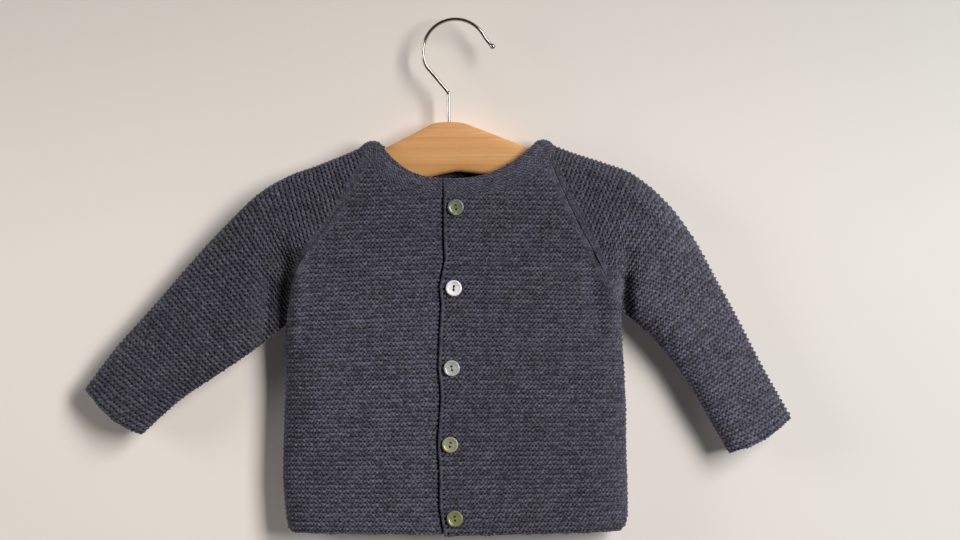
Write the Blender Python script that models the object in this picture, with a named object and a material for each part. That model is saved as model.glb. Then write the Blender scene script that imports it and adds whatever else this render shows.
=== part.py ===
"""Baby cardigan in garter stitch, buttoned, on a small wooden hanger with a wire hook.

Frame: x runs to the right as the garment hangs, z is up and the front faces -y. The origin is the
inner top of the hook, where a nail or rail carries it. Left and right are the wearer's, so the left
front and the left sleeve are at +x. Tables and lengths are in millimetres; meshes are in metres.

Each cloth piece is a wall with an outer and an inner skin. A sleeve runs in rows from the neck to the
cuff: each row goes from the fold along its top to the raglan seam, and past the underarm to the fold
along its lower side, where the row closes into a tube. The fronts and the back hang between the same
raglan seams. Half depths are measured from the flat plane y = 0 in which the garment hangs.
"""
import math

import bmesh
import bpy
import numpy as np
from mathutils import Vector

MM = 0.001

# ---- cloth ----
WALL = 2.5               # thickness of the garter stitch
SEAM = 0.3               # gap between pieces that are sewn or lie on each other
EDGE_SHIFT = 0.18        # what each side of a raglan seam gives up to that gap
MID_GAP = 0.15           # a front and the back each stop this far from y = 0 at the side
BACK_SHARE = 0.92        # depth of the back half of a sleeve against its front half

# ---- sleeves: rows from the neck (0) over the underarm (5) to the cuff (9) ----
SLEEVE_COLUMNS = ("x_top", "z_top", "x_low", "z_low", "depth", "top_round", "low_round")
SLEEVE_ROWS = {
    "right": [
        (-66.1, -88.8, -61.9, -97.5, 9.8, 8.6, 20),
        (-77.3, -93.7, -71.0, -112.9, 10.4, 12, 22),
        (-98.6, -102.1, -86.9, -140.9, 11.0, 14, 24),
        (-117.5, -109.1, -102.5, -160.5, 11.5, 15, 26),
        (-139.6, -122.7, -111.9, -180.1, 12.0, 17, 28),
        (-168.6, -151.2, -118.6, -213.0, 12.0, 20, 26),
        (-191.2, -176.4, -140.3, -229.8, 11.6, 22, 24),
        (-211.9, -200.2, -166.9, -248.0, 11.0, 22, 22),
        (-236.9, -228.2, -192.8, -265.5, 10.2, 20, 20),
        (-259.4, -257.8, -220.1, -290.0, 9.4, 17, 17),
    ],
    "left": [
        (68.3, -87.4, 65.5, -96.8, 9.8, 8.6, 20),
        (84.8, -93.5, 74.6, -118.5, 10.4, 12, 22),
        (105.1, -100.0, 86.6, -143.7, 11.0, 14, 24),
        (125.0, -108.0, 98.8, -166.1, 11.5, 15, 26),
        (148.1, -127.6, 108.6, -188.5, 12.0, 17, 28),
        (167.0, -152.8, 115.9, -202.5, 12.0, 20, 26),
        (181.0, -178.0, 134.8, -218.6, 11.6, 22, 24),
        (197.1, -207.4, 155.1, -242.4, 11.0, 22, 22),
        (215.6, -243.2, 173.3, -271.1, 10.2, 20, 20),
        (235.3, -277.8, 191.5, -302.6, 9.4, 17, 17),
    ],
}
UNDERARM_ROW = 5
CUFF_ROW = 9
SINK_ROWS = 1.3          # rows above the underarm in which the raglan seam sinks to y = 0
CUFF_BOW = 3.5           # how far the cuff's edge bows out along the arm
CREASE_ROWS = [          # x, z_top, z_low, width and share of the depth: a crease beside each underarm
    (-120.6, -157.0, -208.0, 7.0, 0.50),
    (120.2, -160.0, -193.0, 8.0, 0.55),
]
CREASE_FLOOR = 0.2       # the least share of its depth that the inner skin keeps in a crease
STEPS_PER_ROW = 2        # mesh rows for each row of the table
YOKE_STEPS = UNDERARM_ROW * STEPS_PER_ROW
SLEEVE_STEPS = 10        # mesh steps from the top fold to the lower fold

# ---- body ----
FRONT_DEPTH_TOP, FRONT_DEPTH_HEM = 12.5, 14.0
BACK_DEPTH_TOP, BACK_DEPTH_HEM = 10.5, 11.5
DEPTH_Z_TOP, DEPTH_Z_HEM = -97.0, -358.0
SIDE_ROUND = 30.0        # how far in from the side the body reaches its full depth
SIDE_ROWS = {            # x, z from the underarm to the rounded hem corner
    "right": [(-118.6, -213.0), (-119.4, -232.0), (-118.8, -252.0), (-119.8, -285.0), (-120.6, -315.0),
              (-119.3, -336.0), (-117.4, -352.0), (-114.6, -357.6)],
    "left": [(115.9, -202.5), (116.5, -222.0), (117.8, -240.0), (119.0, -268.0), (119.5, -300.0),
             (120.4, -330.0), (120.0, -348.5), (116.0, -356.4)],
}
CENTRE_EDGE_ROWS = [     # x, z down the front edge of the left front, which lies on top
    (-8.0, -122.0), (-8.0, -150.0), (-7.2, -167.0), (-10.9, -186.0), (-9.6, -199.0), (-11.0, -222.0),
    (-11.6, -242.0), (-9.8, -262.0), (-12.0, -294.0), (-10.8, -316.0), (-10.8, -340.0), (-7.4, -359.6),
]
UNDER_EDGE_X = 7.4       # front edge of the right front, behind the left one
UNDER_FLAT = 21.5        # the right front lies deeper over this width from its edge
UNDER_BLEND = 15.0       # and comes forward over this one
FRONT_Z_UNDERARM = {"right": -208.0, "left": -201.0}   # height at the front edge of the underarm row
FRONT_Z_HEM = {"right": -358.4, "left": -359.6}
BACK_Z_HEM = -356.5
NECK_FADE = 1.5          # how fast the rows lose the neck's curve on the way to the underarm
LOWER_STEPS = 10         # mesh rows from the underarm to the hem
PLACKET_OFFSETS = (0.0, 7.0, UNDER_FLAT, UNDER_FLAT + UNDER_BLEND / 2, UNDER_FLAT + UNDER_BLEND)
OUTER_STEPS = 7          # mesh columns of a front from there to the side
BACK_STEPS = 18          # mesh columns of the back

# ---- neck: seam and rim rise from a low point at the centre, as |x / reach| ** power ----
NECK_SEAM_Z, NECK_RIM_Z = -122.0, -112.0
BACK_SEAM_Z, BACK_RIM_Z = -110.8, -99.6
NECK_POWERS = {          # seam and rim of the front, then of the back
    "right": (3.3, 3.0, 3.0, 4.0),
    "left": (2.85, 2.2, 3.0, 4.0),
}
RIM_REACH = {"right": -53.8, "left": 57.5}
RIM_TOP_Z = {"right": -84.0, "left": -83.2}
RIM_BULGE = 3.6          # how far the rim rounds outward over the shoulder
RIM_DEPTH = 8.4          # half depth of the rim at the shoulder
TOP_CORNER_X = -4.4      # rim end of the band on the left front
BAND_CROWN, SHOULDER_CROWN = 0.5, 1.5    # how far the band rounds out between its edges
CREST = 0.9              # how far the rim stands over its two edges
FRONT_STATIONS, SHOULDER_STATIONS, BACK_STATIONS = 12, 8, 12

# ---- buttons ----
BUTTON_PROFILE = [       # radius and height over the cloth side, from the back to the dished centre
    (3.6, 0.0), (5.1, 0.35), (5.6, 1.0), (5.25, 1.75), (4.5, 1.95), (3.7, 1.6), (2.2, 1.3), (0.0, 1.2),
]
BUTTON_STEPS = 24
THREAD_HOLE_RADIUS, THREAD_HOLE_PITCH = 0.65, 2.5
THREAD_CUTTER_LENGTH = 6.0
BUTTON_CENTRES = [       # x, z and the turn of the two holes from upright, in degrees
    (0.4, -130.9, -8), (-1.0, -187.1, 6), (-2.4, -242.7, -10), (-3.5, -295.8, 12), (-0.3, -347.0, -6),
]

# ---- hanger ----
BAR_ROWS = [             # x, z_top, z_low, half_thickness
    (-127.6, -120.4, -127.4, 2.2), (-126.4, -118.4, -129.4, 4.2), (-123.0, -116.4, -130.4, 5.6),
    (-110.0, -110.3, -127.6, 6.0), (-85.0, -101.6, -122.4, 6.0), (-64.0, -94.6, -119.0, 6.0),
    (-49.3, -89.1, -116.6, 6.0), (-32.0, -80.4, -113.0, 6.0), (-19.6, -73.9, -110.2, 6.0),
    (-14.6, -71.8, -109.0, 6.0), (-9.0, -71.0, -107.6, 6.0), (0.4, -71.0, -105.9, 6.0),
    (6.6, -71.9, -106.2, 6.0), (12.6, -74.1, -106.9, 6.0), (24.2, -78.5, -108.7, 6.0),
    (38.0, -83.9, -112.0, 6.0), (51.2, -89.1, -114.6, 6.0),
    (78.0, -97.0, -117.4, 6.0), (98.0, -102.9, -120.0, 6.0), (117.0, -109.9, -123.8, 5.6),
    (120.6, -112.1, -123.1, 4.2), (121.8, -114.2, -121.2, 2.2),
]
BAR_SIDES = 16
BAR_SQUARENESS = 3.4     # exponent of the rounded-rectangle section
WIRE_RADIUS = 1.15
HOOK_RADIUS = 22.75      # of the wire's centre line
HOOK_START, HOOK_END = 27.0, 209.0     # degrees, over the top of the hook
STEM_X = -4.8
STEM_TOP_Z, STEM_FOOT_Z = -71.0, -85.0   # it enters the bar at STEM_TOP_Z
BALL_RADIUS = 1.9
BEND_ROUTE = [(-4.8, -52.6), (-5.1, -50.8), (-6.2, -48.8)]   # x, z where the stem bends into the arc
LIP_ROUTE = [(21.9, -13.6), (24.2, -16.4)]   # the hook's end turns outward to its ball
BALL_CENTRE = (26.0, -17.9)
ARC_STEPS, BALL_STEPS = 22, 6
BALL_LAST_ANGLE = math.radians(81)   # the ball's last ring, short of its pole

COLOURS = {              # base colour, roughness, metallic
    "knit": ((0.060, 0.056, 0.076), 0.92, 0.0),
    "wood": ((0.62, 0.32, 0.13), 0.45, 0.0),
    "chrome": ((0.72, 0.72, 0.73), 0.16, 1.0),
    "button_1": ((0.36, 0.37, 0.24), 0.30, 0.0),
    "button_2": ((0.74, 0.74, 0.70), 0.25, 0.0),
    "button_3": ((0.50, 0.52, 0.50), 0.28, 0.0),
    "button_4": ((0.55, 0.50, 0.26), 0.28, 0.0),
    "button_5": ((0.31, 0.32, 0.18), 0.30, 0.0),
}


# ---------------------------------------------------------------- scene and mesh helpers

def clear_scene():
    for obj in list(bpy.data.objects):
        bpy.data.objects.remove(obj, do_unlink=True)


def new_collection(name):
    collection = bpy.data.collections.new(name)
    bpy.context.scene.collection.children.link(collection)
    return collection


def make_material(name):
    colour, roughness, metallic = COLOURS[name]
    material = bpy.data.materials.new(name)
    material.use_nodes = True
    shader = material.node_tree.nodes["Principled BSDF"]
    shader.inputs["Base Color"].default_value = (*colour, 1.0)
    shader.inputs["Roughness"].default_value = roughness
    shader.inputs["Metallic"].default_value = metallic
    return material


def add_object(name, data, material, collection):
    obj = bpy.data.objects.new(name, data)
    obj.data.materials.append(material)
    collection.objects.link(obj)
    return obj


def finish_mesh(name, bm, material, collection, sharp_angle=50):
    """Turn the faces of a closed bmesh outward and make it a smooth-shaded object."""
    bmesh.ops.recalc_face_normals(bm, faces=bm.faces)
    mesh = bpy.data.meshes.new(name)
    bm.to_mesh(mesh)
    bm.free()
    mesh.shade_smooth()
    mesh.set_sharp_from_angle(angle=math.radians(sharp_angle))
    return add_object(name, mesh, material, collection)


def wall_from_skins(name, outer, inner, material, collection, closes_at=None):
    """Solid between two grids of points. From row closes_at on, the first and last column are one."""
    bm = bmesh.new()
    rows, columns = outer.shape[:2]
    closed = [closes_at is not None and r >= closes_at for r in range(rows)]
    corners = {}
    for skin, points in enumerate((outer, inner)):
        for r in range(rows):
            for c in range(columns):
                if closed[r] and c == columns - 1:
                    corners[skin, r, c] = corners[skin, r, 0]
                else:
                    corners[skin, r, c] = bm.verts.new(Vector(points[r, c]) * MM)
    for skin in (0, 1):
        for r in range(rows - 1):
            for c in range(columns - 1):
                square = [(r, c), (r, c + 1), (r + 1, c + 1), (r + 1, c)]
                bm.faces.new([corners[skin, *place] for place in square])
    rims = [[(0, c) for c in range(columns)], [(rows - 1, c) for c in range(columns)]]
    open_rows = [r for r in range(rows) if r == 0 or not closed[r - 1]]
    rims += [[(r, 0) for r in open_rows], [(r, columns - 1) for r in open_rows]]
    for rim in rims:
        for here, there in zip(rim, rim[1:]):
            bm.faces.new([corners[0, *here], corners[0, *there], corners[1, *there], corners[1, *here]])
    return finish_mesh(name, bm, material, collection)


def loft(name, rings, material, collection):
    """Closed solid through rings of points, with its two ends capped."""
    bm = bmesh.new()
    loops = [[bm.verts.new(Vector(point) * MM) for point in ring] for ring in rings]
    for ring, following in zip(loops, loops[1:]):
        for k in range(len(ring)):
            n = (k + 1) % len(ring)
            bm.faces.new([ring[k], ring[n], following[n], following[k]])
    bm.faces.new(loops[0])
    bm.faces.new(loops[-1])
    return finish_mesh(name, bm, material, collection)


# ---------------------------------------------------------------- curves through the tables

def smooth(values, t, first=0, last=None):
    """Column value at row number t, on a smooth curve through the rows from first to last."""
    last = len(values) - 1 if last is None else last
    i = int(min(max(math.floor(t), first), last - 1))
    f = t - i
    a, b = values[i], values[i + 1]
    before = values[i - 1] if i > first else 2 * a - b
    after = values[i + 2] if i + 2 <= last else 2 * b - a
    return 0.5 * (2 * a + (b - before) * f + (2 * before - 5 * a + 4 * b - after) * f ** 2
                  + (3 * a - before - 3 * b + after) * f ** 3)


def curve_point(rows, share):
    """Point at a share of the way through a table of x and z rows."""
    t = share * (len(rows) - 1)
    return np.array([smooth([row[k] for row in rows], t) for k in (0, 1)])


def x_at_height(rows, z):
    return float(np.interp(-z, [-row[1] for row in rows], [row[0] for row in rows]))


def fold_shares(steps):
    """Shares from 0 to 1 that crowd towards both ends, where the cloth folds round."""
    return [(1 - math.cos(math.pi * k / steps)) / 2 for k in range(steps + 1)]


def round_off(p):
    """Quarter-round from 0 at p = 0 to 1 at p = 1 and beyond."""
    p = np.clip(p, 0.0, 1.0)
    return np.sqrt(1.0 - (1.0 - p) ** 2)


def unit(vector):
    return vector / np.linalg.norm(vector)


def crease_depth(face, x, z, outside, depth):
    """Depth of a skin where the upright creases of the front push it in; outside is the outer skin's."""
    if face > 0:
        return depth
    share = 0.0
    for crease_x, z_top, z_low, width, deepest in CREASE_ROWS:
        off = math.hypot(x - crease_x, z - min(max(z, z_low), z_top))
        share = max(share, deepest * math.exp(-(off / width) ** 2))
    return max(depth - share * outside, CREASE_FLOOR * depth)


# ---------------------------------------------------------------- sleeves

def sleeve_row(side, t):
    """Top and lower end of row t in the x-z plane, its depth and the rounding of its two ends."""
    columns = dict(zip(SLEEVE_COLUMNS, zip(*SLEEVE_ROWS[side])))
    part = (0, UNDERARM_ROW) if t <= UNDERARM_ROW else (UNDERARM_ROW, CUFF_ROW)
    top = np.array([smooth(columns["x_top"], t), smooth(columns["z_top"], t)])
    low = np.array([smooth(columns["x_low"], t, *part), smooth(columns["z_low"], t, *part)])
    rest = [smooth(columns[name], t) for name in ("depth", "top_round", "low_round")]
    return top, low, *rest


def raglan_share(t):
    """Depth of the raglan seam at row t as a share of the sleeve's depth: 0 from the underarm on."""
    return float(round_off((UNDERARM_ROW - t) / SINK_ROWS)) if t < UNDERARM_ROW else 0.0


def sleeve_section(side, t, inset, face, shares):
    """Points of row t from its top end to its lower end, on the skin inset from the outside.
    face is -1 for the front and 1 for the back."""
    top, low, depth, top_round, low_round = sleeve_row(side, t)
    along = unit(low - top)
    open_share = raglan_share(t)
    seam = EDGE_SHIFT if t <= UNDERARM_ROW else 0.0
    start = top + along * inset
    end = low - along * (seam + inset * (1.0 - open_share))
    run = np.linalg.norm(end - start)
    full_depth = depth * (BACK_SHARE if face > 0 else 1.0)
    onward = np.array([along[1], -along[0]]) * (1.0 if side == "right" else -1.0)
    bow = CUFF_BOW * max(0.0, t - CUFF_ROW + 1) ** 2

    def depth_at(share, skin):
        face_depth = full_depth - skin
        edge_depth = face_depth * open_share
        crown = edge_depth + (face_depth - edge_depth) * round_off((1 - share) * run / (low_round - skin))
        return crown * round_off(share * run / (top_round - skin))

    points = []
    for share in shares:
        x, z = start + (end - start) * share + onward * bow * math.sin(math.pi * share)
        sunk = crease_depth(face, x, z, depth_at(share, 0.0), depth_at(share, inset))
        points.append((x, face * sunk, z))
    return points


def make_sleeve(side, material, collection):
    """Front half from the lower end up to the top fold, then the back half down again."""
    shares = fold_shares(SLEEVE_STEPS)
    skins = []
    for inset in (0.0, WALL):
        rows = []
        for step in range(CUFF_ROW * STEPS_PER_ROW + 1):
            t = step / STEPS_PER_ROW
            front = sleeve_section(side, t, inset, -1, shares)
            back = sleeve_section(side, t, inset, 1, shares)
            rows.append(front[::-1] + back[1:])
        skins.append(np.array(rows))
    wall_from_skins("sleeve_" + side, *skins, material, collection, closes_at=YOKE_STEPS)


# ---------------------------------------------------------------- fronts and back

def body_depth(face, z):
    ends = (FRONT_DEPTH_TOP, FRONT_DEPTH_HEM) if face < 0 else (BACK_DEPTH_TOP, BACK_DEPTH_HEM)
    return ends[0] + (ends[1] - ends[0]) * (DEPTH_Z_TOP - z) / (DEPTH_Z_TOP - DEPTH_Z_HEM)


def neck_height(side, x, low_z, power):
    """Height of the neck seam at x."""
    reach, high_z = SLEEVE_ROWS[side][0][2:4]
    return low_z + (high_z - low_z) * min(abs(x / reach), 1.0) ** power


def front_sag(side, edge_x, u):
    """How far a front's neck seam hangs under its chord, at share u from the front edge to the raglan."""
    power = NECK_POWERS[side][0]
    end_x = SLEEVE_ROWS[side][0][2]
    start_z, here_z, end_z = (neck_height(side, edge_x + (end_x - edge_x) * share, NECK_SEAM_Z, power)
                              for share in (0.0, u, 1.0))
    return here_z - (start_z + (end_z - start_z) * u)


def outer_edge(side, row):
    """Outer end of a body row, on the raglan seam down to the underarm and then down the side, with
    the seam's share of the sleeve's depth there and that depth."""
    shift = (EDGE_SHIFT if side == "right" else -EDGE_SHIFT, 0.0)
    if row <= YOKE_STEPS:
        t = row / STEPS_PER_ROW
        low, depth = sleeve_row(side, t)[1:3]
        return low + shift, raglan_share(t), depth
    share = (row - YOKE_STEPS) / LOWER_STEPS
    return curve_point(SIDE_ROWS[side], share) + shift, 0.0, 0.0


def body_skin_point(face, x, z, outer, share, sleeve_depth, inset, push):
    """Point of a front (face -1) or the back (face 1) at x and z, on the skin inset from the outside.
    outer, share and sleeve_depth describe the row's outer end, as outer_edge gives them."""
    inward = 1.0 if outer[0] < 0 else -1.0
    edge_inset = inset * (1.0 - share)
    x_skin = x + inward * edge_inset * max(0.0, 1.0 - abs(x - outer[0]) / SIDE_ROUND)
    scale = BACK_SHARE if face > 0 else 1.0
    distance = max(0.0, abs(x_skin - outer[0]) - edge_inset)

    def depth_at(skin):
        full = body_depth(face, z) - skin
        edge = max(MID_GAP, share * (sleeve_depth * scale - skin))
        return edge + (full - edge) * float(round_off(distance / (SIDE_ROUND - edge_inset)))

    sunk = crease_depth(face, x_skin, z, depth_at(0.0), depth_at(inset))
    return x_skin, face * (max(sunk, MID_GAP) - push), z


def under_push(side, x):
    """How much deeper the right front lies at x, behind the left one."""
    if side == "left":
        return 0.0
    beyond = (UNDER_EDGE_X - x - UNDER_FLAT) / UNDER_BLEND
    return (WALL + SEAM) * (1.0 - min(max(beyond, 0.0), 1.0))


def front_row(side, row):
    """Front-edge end of a row of a front, its outer end, and how much of the neck's curve it has."""
    if row <= YOKE_STEPS:
        share = row / YOKE_STEPS
        z = NECK_SEAM_Z + (FRONT_Z_UNDERARM[side] - NECK_SEAM_Z) * share
        neck = (1.0 - share) ** NECK_FADE
    else:
        share = (row - YOKE_STEPS) / LOWER_STEPS
        z = FRONT_Z_UNDERARM[side] + (FRONT_Z_HEM[side] - FRONT_Z_UNDERARM[side]) * share
        neck = 0.0
    x = x_at_height(CENTRE_EDGE_ROWS, z) if side == "left" else UNDER_EDGE_X
    return np.array([x, z]), outer_edge(side, row), neck


def make_front(side, material, collection):
    """The right front lies behind the left one, so it is pushed in near its front edge."""
    skins = []
    for inset in (0.0, WALL):
        rows = []
        for row in range(YOKE_STEPS + LOWER_STEPS + 1):
            edge, (outer, share, sleeve_depth), neck = front_row(side, row)
            width = abs(outer[0] - edge[0])
            first = [offset / width for offset in PLACKET_OFFSETS]
            last = [first[-1] + (1 - first[-1]) * math.sin(math.pi / 2 * (k + 1) / OUTER_STEPS)
                    for k in range(OUTER_STEPS)]
            points = []
            for u in first + last:
                x, z = edge + (outer - edge) * u
                z += neck * front_sag(side, edge[0], u)
                push = under_push(side, x)
                points.append(body_skin_point(-1, x, z, outer, share, sleeve_depth, inset, push))
            rows.append(points)
        skins.append(np.array(rows))
    wall_from_skins("front_" + side, *skins, material, collection)


def back_sag(u):
    """How far the back's neck seam hangs under the chord between its ends, at share u between them."""
    (start_x, start_z), (end_x, end_z) = (SLEEVE_ROWS[side][0][2:4] for side in ("right", "left"))
    x = start_x + (end_x - start_x) * u
    side = "right" if x < 0 else "left"
    return neck_height(side, x, BACK_SEAM_Z, NECK_POWERS[side][2]) - (start_z + (end_z - start_z) * u)


def make_back(material, collection):
    shares = fold_shares(BACK_STEPS)
    skins = []
    for inset in (0.0, WALL):
        rows = []
        for row in range(YOKE_STEPS + LOWER_STEPS + 1):
            ends = {side: outer_edge(side, row) for side in ("right", "left")}
            start, end = ends["right"][0], ends["left"][0]
            neck = max(0.0, 1.0 - row / YOKE_STEPS) ** NECK_FADE
            points = []
            for u in shares:
                x, z = start + (end - start) * u
                side = "right" if x < 0 else "left"
                z += neck * back_sag(u)
                z = max(z, BACK_Z_HEM)
                outer, share, sleeve_depth = ends[side]
                points.append(body_skin_point(1, x, z, outer, share, sleeve_depth, inset, 0.0))
            rows.append(points)
        skins.append(np.array(rows))
    wall_from_skins("back", *skins, material, collection)


# ---------------------------------------------------------------- neckband

def band_ring(seam_out, seam_in, rim_out, rim_in, crown):
    """Section of the band: up its outside, over the rounded rim and down its inside."""
    seam_out, seam_in, rim_out, rim_in = (np.array(p, float) for p in (seam_out, seam_in, rim_out, rim_in))
    up = unit(rim_out - seam_out)
    seam_out, seam_in = seam_out + up * SEAM, seam_in + up * SEAM
    mid_out = (seam_out + rim_out) / 2 + crown
    mid_in = (seam_in + rim_in) / 2
    crest = (rim_out + rim_in) / 2 + up * CREST
    return [seam_out, mid_out, rim_out, crest, rim_in, mid_in, seam_in]


def band_flat_station(side, face, seam_x, rim_x):
    """Station on the front (face -1) or the back (face 1), where the band stands upright."""
    seam_z, rim_z = (NECK_SEAM_Z, NECK_RIM_Z) if face < 0 else (BACK_SEAM_Z, BACK_RIM_Z)
    seam_power, rim_power = NECK_POWERS[side][:2] if face < 0 else NECK_POWERS[side][2:]
    reach = SLEEVE_ROWS[side][0][2]
    sleeve_depth = SLEEVE_ROWS[side][0][4] * (BACK_SHARE if face > 0 else 1.0)
    height = neck_height(side, seam_x, seam_z, seam_power)
    rim_share = min(abs(rim_x / RIM_REACH[side]), 1.0)
    rim_height = rim_z + (RIM_TOP_Z[side] - rim_z) * rim_share ** rim_power
    push = under_push(side, seam_x) if face < 0 else 0.0
    full = body_depth(face, height)
    inside = float(round_off(abs(seam_x - reach) / SIDE_ROUND))
    rim_inside = float(round_off(abs(rim_x - RIM_REACH[side]) / SIDE_ROUND))
    seam_depth = sleeve_depth + (full - sleeve_depth) * inside - push
    rim_depth = RIM_DEPTH + (full - RIM_DEPTH) * rim_inside - push
    seam_out, rim_out = (seam_x, face * seam_depth, height), (rim_x, face * rim_depth, rim_height)
    seam_in = (seam_x, face * (seam_depth - WALL), height)
    rim_in = (rim_x, face * (rim_depth - WALL), rim_height)
    return band_ring(seam_out, seam_in, rim_out, rim_in, (0.0, face * BAND_CROWN, 0.0))


def band_shoulder_station(side, face, share):
    """Station over the shoulder: share is 1 on the raglan seam and 0 on the fold of the sleeve."""
    outward = -1.0 if side == "right" else 1.0
    turn = share * math.pi / 2
    rim = {}
    for inset in (0.0, WALL):
        x = RIM_REACH[side] + outward * RIM_BULGE * math.cos(turn)
        z = RIM_TOP_Z[side] - inset * math.cos(turn)
        rim[inset] = (x, face * (RIM_DEPTH - inset) * math.sin(turn), z)
    seam_out, = sleeve_section(side, 0.0, 0.0, face, [share])
    seam_in, = sleeve_section(side, 0.0, WALL, face, [share])
    crown = (0.0, face * BAND_CROWN * math.sin(turn), SHOULDER_CROWN * math.cos(turn))
    return band_ring(seam_out, seam_in, rim[0.0], rim[WALL], crown)


def make_neckband(material, collection):
    """One strip from the front edge of the left front round the neck to that of the right front."""
    left_seam, right_seam = SLEEVE_ROWS["left"][0][2], SLEEVE_ROWS["right"][0][2]
    rings = []

    def along(side, face, seam_ends, rim_ends, count, skip_last=True):
        for k in range(count if skip_last else count + 1):
            share = k / count
            seam_x = seam_ends[0] + (seam_ends[1] - seam_ends[0]) * share
            rim_x = rim_ends[0] + (rim_ends[1] - rim_ends[0]) * share
            rings.append(band_flat_station(side, face, seam_x, rim_x))

    def over_shoulder(side, first_face):
        half = SHOULDER_STATIONS // 2
        for k in range(SHOULDER_STATIONS):
            share = 1.0 - k / half
            face = first_face if share > 0 else -first_face
            rings.append(band_shoulder_station(side, face, abs(share)))

    along("left", -1, (CENTRE_EDGE_ROWS[0][0], left_seam), (TOP_CORNER_X, RIM_REACH["left"]), FRONT_STATIONS)
    over_shoulder("left", -1)
    along("left", 1, (left_seam, 0.0), (RIM_REACH["left"], 0.0), BACK_STATIONS)
    along("right", 1, (0.0, right_seam), (0.0, RIM_REACH["right"]), BACK_STATIONS)
    over_shoulder("right", 1)
    along("right", -1, (right_seam, UNDER_EDGE_X), (RIM_REACH["right"], UNDER_EDGE_X), FRONT_STATIONS, False)
    loft("neckband", rings, material, collection)


# ---------------------------------------------------------------- buttons

def turned_disc(profile, steps):
    """Mesh turned round z from a profile of radius and height."""
    bm = bmesh.new()
    points = [(0.0, profile[0][1])] + profile
    chain = [bm.verts.new((radius * MM, 0.0, height * MM)) for radius, height in points]
    edges = [bm.edges.new(pair) for pair in zip(chain, chain[1:])]
    bmesh.ops.spin(bm, geom=chain + edges, cent=(0, 0, 0), axis=(0, 0, 1), angle=math.tau, steps=steps,
                   use_merge=True)
    bmesh.ops.remove_doubles(bm, verts=bm.verts, dist=0.00001)
    return bm


def make_button(number, centre, material, collection, cutters):
    """A dished disc with two thread holes, standing just off the left front."""
    x, z, turn = centre
    front_y = -(body_depth(-1, z) + SEAM)
    disc = turned_disc(BUTTON_PROFILE, BUTTON_STEPS)
    button = finish_mesh("button_%d" % number, disc, material, collection)
    button.location = (x * MM, front_y * MM, z * MM)
    button.rotation_euler = (math.pi / 2, math.radians(turn), 0.0)
    for hole in (-1, 1):
        bm = bmesh.new()
        bmesh.ops.create_cone(bm, cap_ends=True, segments=8, depth=THREAD_CUTTER_LENGTH * MM,
                              radius1=THREAD_HOLE_RADIUS * MM, radius2=THREAD_HOLE_RADIUS * MM)
        bmesh.ops.translate(bm, verts=bm.verts, vec=(0.0, hole * THREAD_HOLE_PITCH / 2 * MM, 0.0))
        cutter = finish_mesh("thread_hole_%d_%d" % (number, hole), bm, material, cutters)
        cutter.parent = button
        cutter.hide_render = True
        cutter.display_type = "WIRE"
        cut = button.modifiers.new("thread hole %d" % hole, "BOOLEAN")
        cut.operation = "DIFFERENCE"
        cut.object = cutter


# ---------------------------------------------------------------- hanger

def make_bar(material, collection, cutters):
    """Shaped wooden bar, lofted along x, drilled from its crown for the hook."""
    rings = []
    for x, z_top, z_low, half_thickness in BAR_ROWS:
        ring = []
        for k in range(BAR_SIDES):
            angle = math.tau * (k + 0.5) / BAR_SIDES
            side, rise = math.cos(angle), math.sin(angle)
            y = half_thickness * math.copysign(abs(side) ** (2 / BAR_SQUARENESS), side)
            z = (z_top - z_low) / 2 * math.copysign(abs(rise) ** (2 / BAR_SQUARENESS), rise)
            ring.append((x, y, (z_top + z_low) / 2 + z))
        rings.append(ring)
    bar = loft("hanger_bar", rings, material, collection)
    bm = bmesh.new()
    foot = STEM_FOOT_Z - SEAM
    depth = 2 * (STEM_TOP_Z - foot)
    radius = (WIRE_RADIUS + SEAM) * MM
    bmesh.ops.create_cone(bm, cap_ends=True, segments=12, depth=depth * MM, radius1=radius, radius2=radius)
    bmesh.ops.translate(bm, verts=bm.verts, vec=(STEM_X * MM, 0.0, (foot + depth / 2) * MM))
    cutter = finish_mesh("hook_socket", bm, material, cutters)
    cutter.hide_render = True
    cutter.display_type = "WIRE"
    cut = bar.modifiers.new("hook socket", "BOOLEAN")
    cut.operation = "DIFFERENCE"
    cut.object = cutter


def hook_route():
    """Centre line of the wire from its foot in the bar to the ball, with the wire's radius there."""
    centre_z = WIRE_RADIUS - HOOK_RADIUS
    route = [(STEM_X, STEM_FOOT_Z)] + BEND_ROUTE
    for k in range(ARC_STEPS + 1):
        angle = math.radians(HOOK_END + (HOOK_START - HOOK_END) * k / ARC_STEPS)
        route.append((HOOK_RADIUS * math.cos(angle), centre_z + HOOK_RADIUS * math.sin(angle)))
    route += LIP_ROUTE
    stations = [(x, z, WIRE_RADIUS) for x, z in route]
    heading = unit(np.array(BALL_CENTRE) - np.array(route[-1]))
    neck = math.acos(WIRE_RADIUS / BALL_RADIUS)
    for k in range(BALL_STEPS + 1):
        angle = -neck + (BALL_LAST_ANGLE + neck) * k / BALL_STEPS
        x, z = np.array(BALL_CENTRE) + heading * BALL_RADIUS * math.sin(angle)
        stations.append((x, z, BALL_RADIUS * math.cos(angle)))
    return stations


def make_hook(material, collection):
    stations = hook_route()
    curve = bpy.data.curves.new("hanger_hook", "CURVE")
    curve.dimensions = "3D"
    curve.bevel_depth = WIRE_RADIUS * MM
    curve.bevel_resolution = 2
    curve.use_fill_caps = True
    spline = curve.splines.new("POLY")
    spline.points.add(len(stations) - 1)
    for point, (x, z, radius) in zip(spline.points, stations):
        point.co = (x * MM, 0.0, z * MM, 1.0)
        point.radius = radius / WIRE_RADIUS
    add_object("hanger_hook", curve, material, collection)


# ---------------------------------------------------------------- the object

clear_scene()
cardigan = new_collection("baby_cardigan_on_a_hanger")
cutter_collection = new_collection("cutters")
materials = {name: make_material(name) for name in COLOURS}

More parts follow.
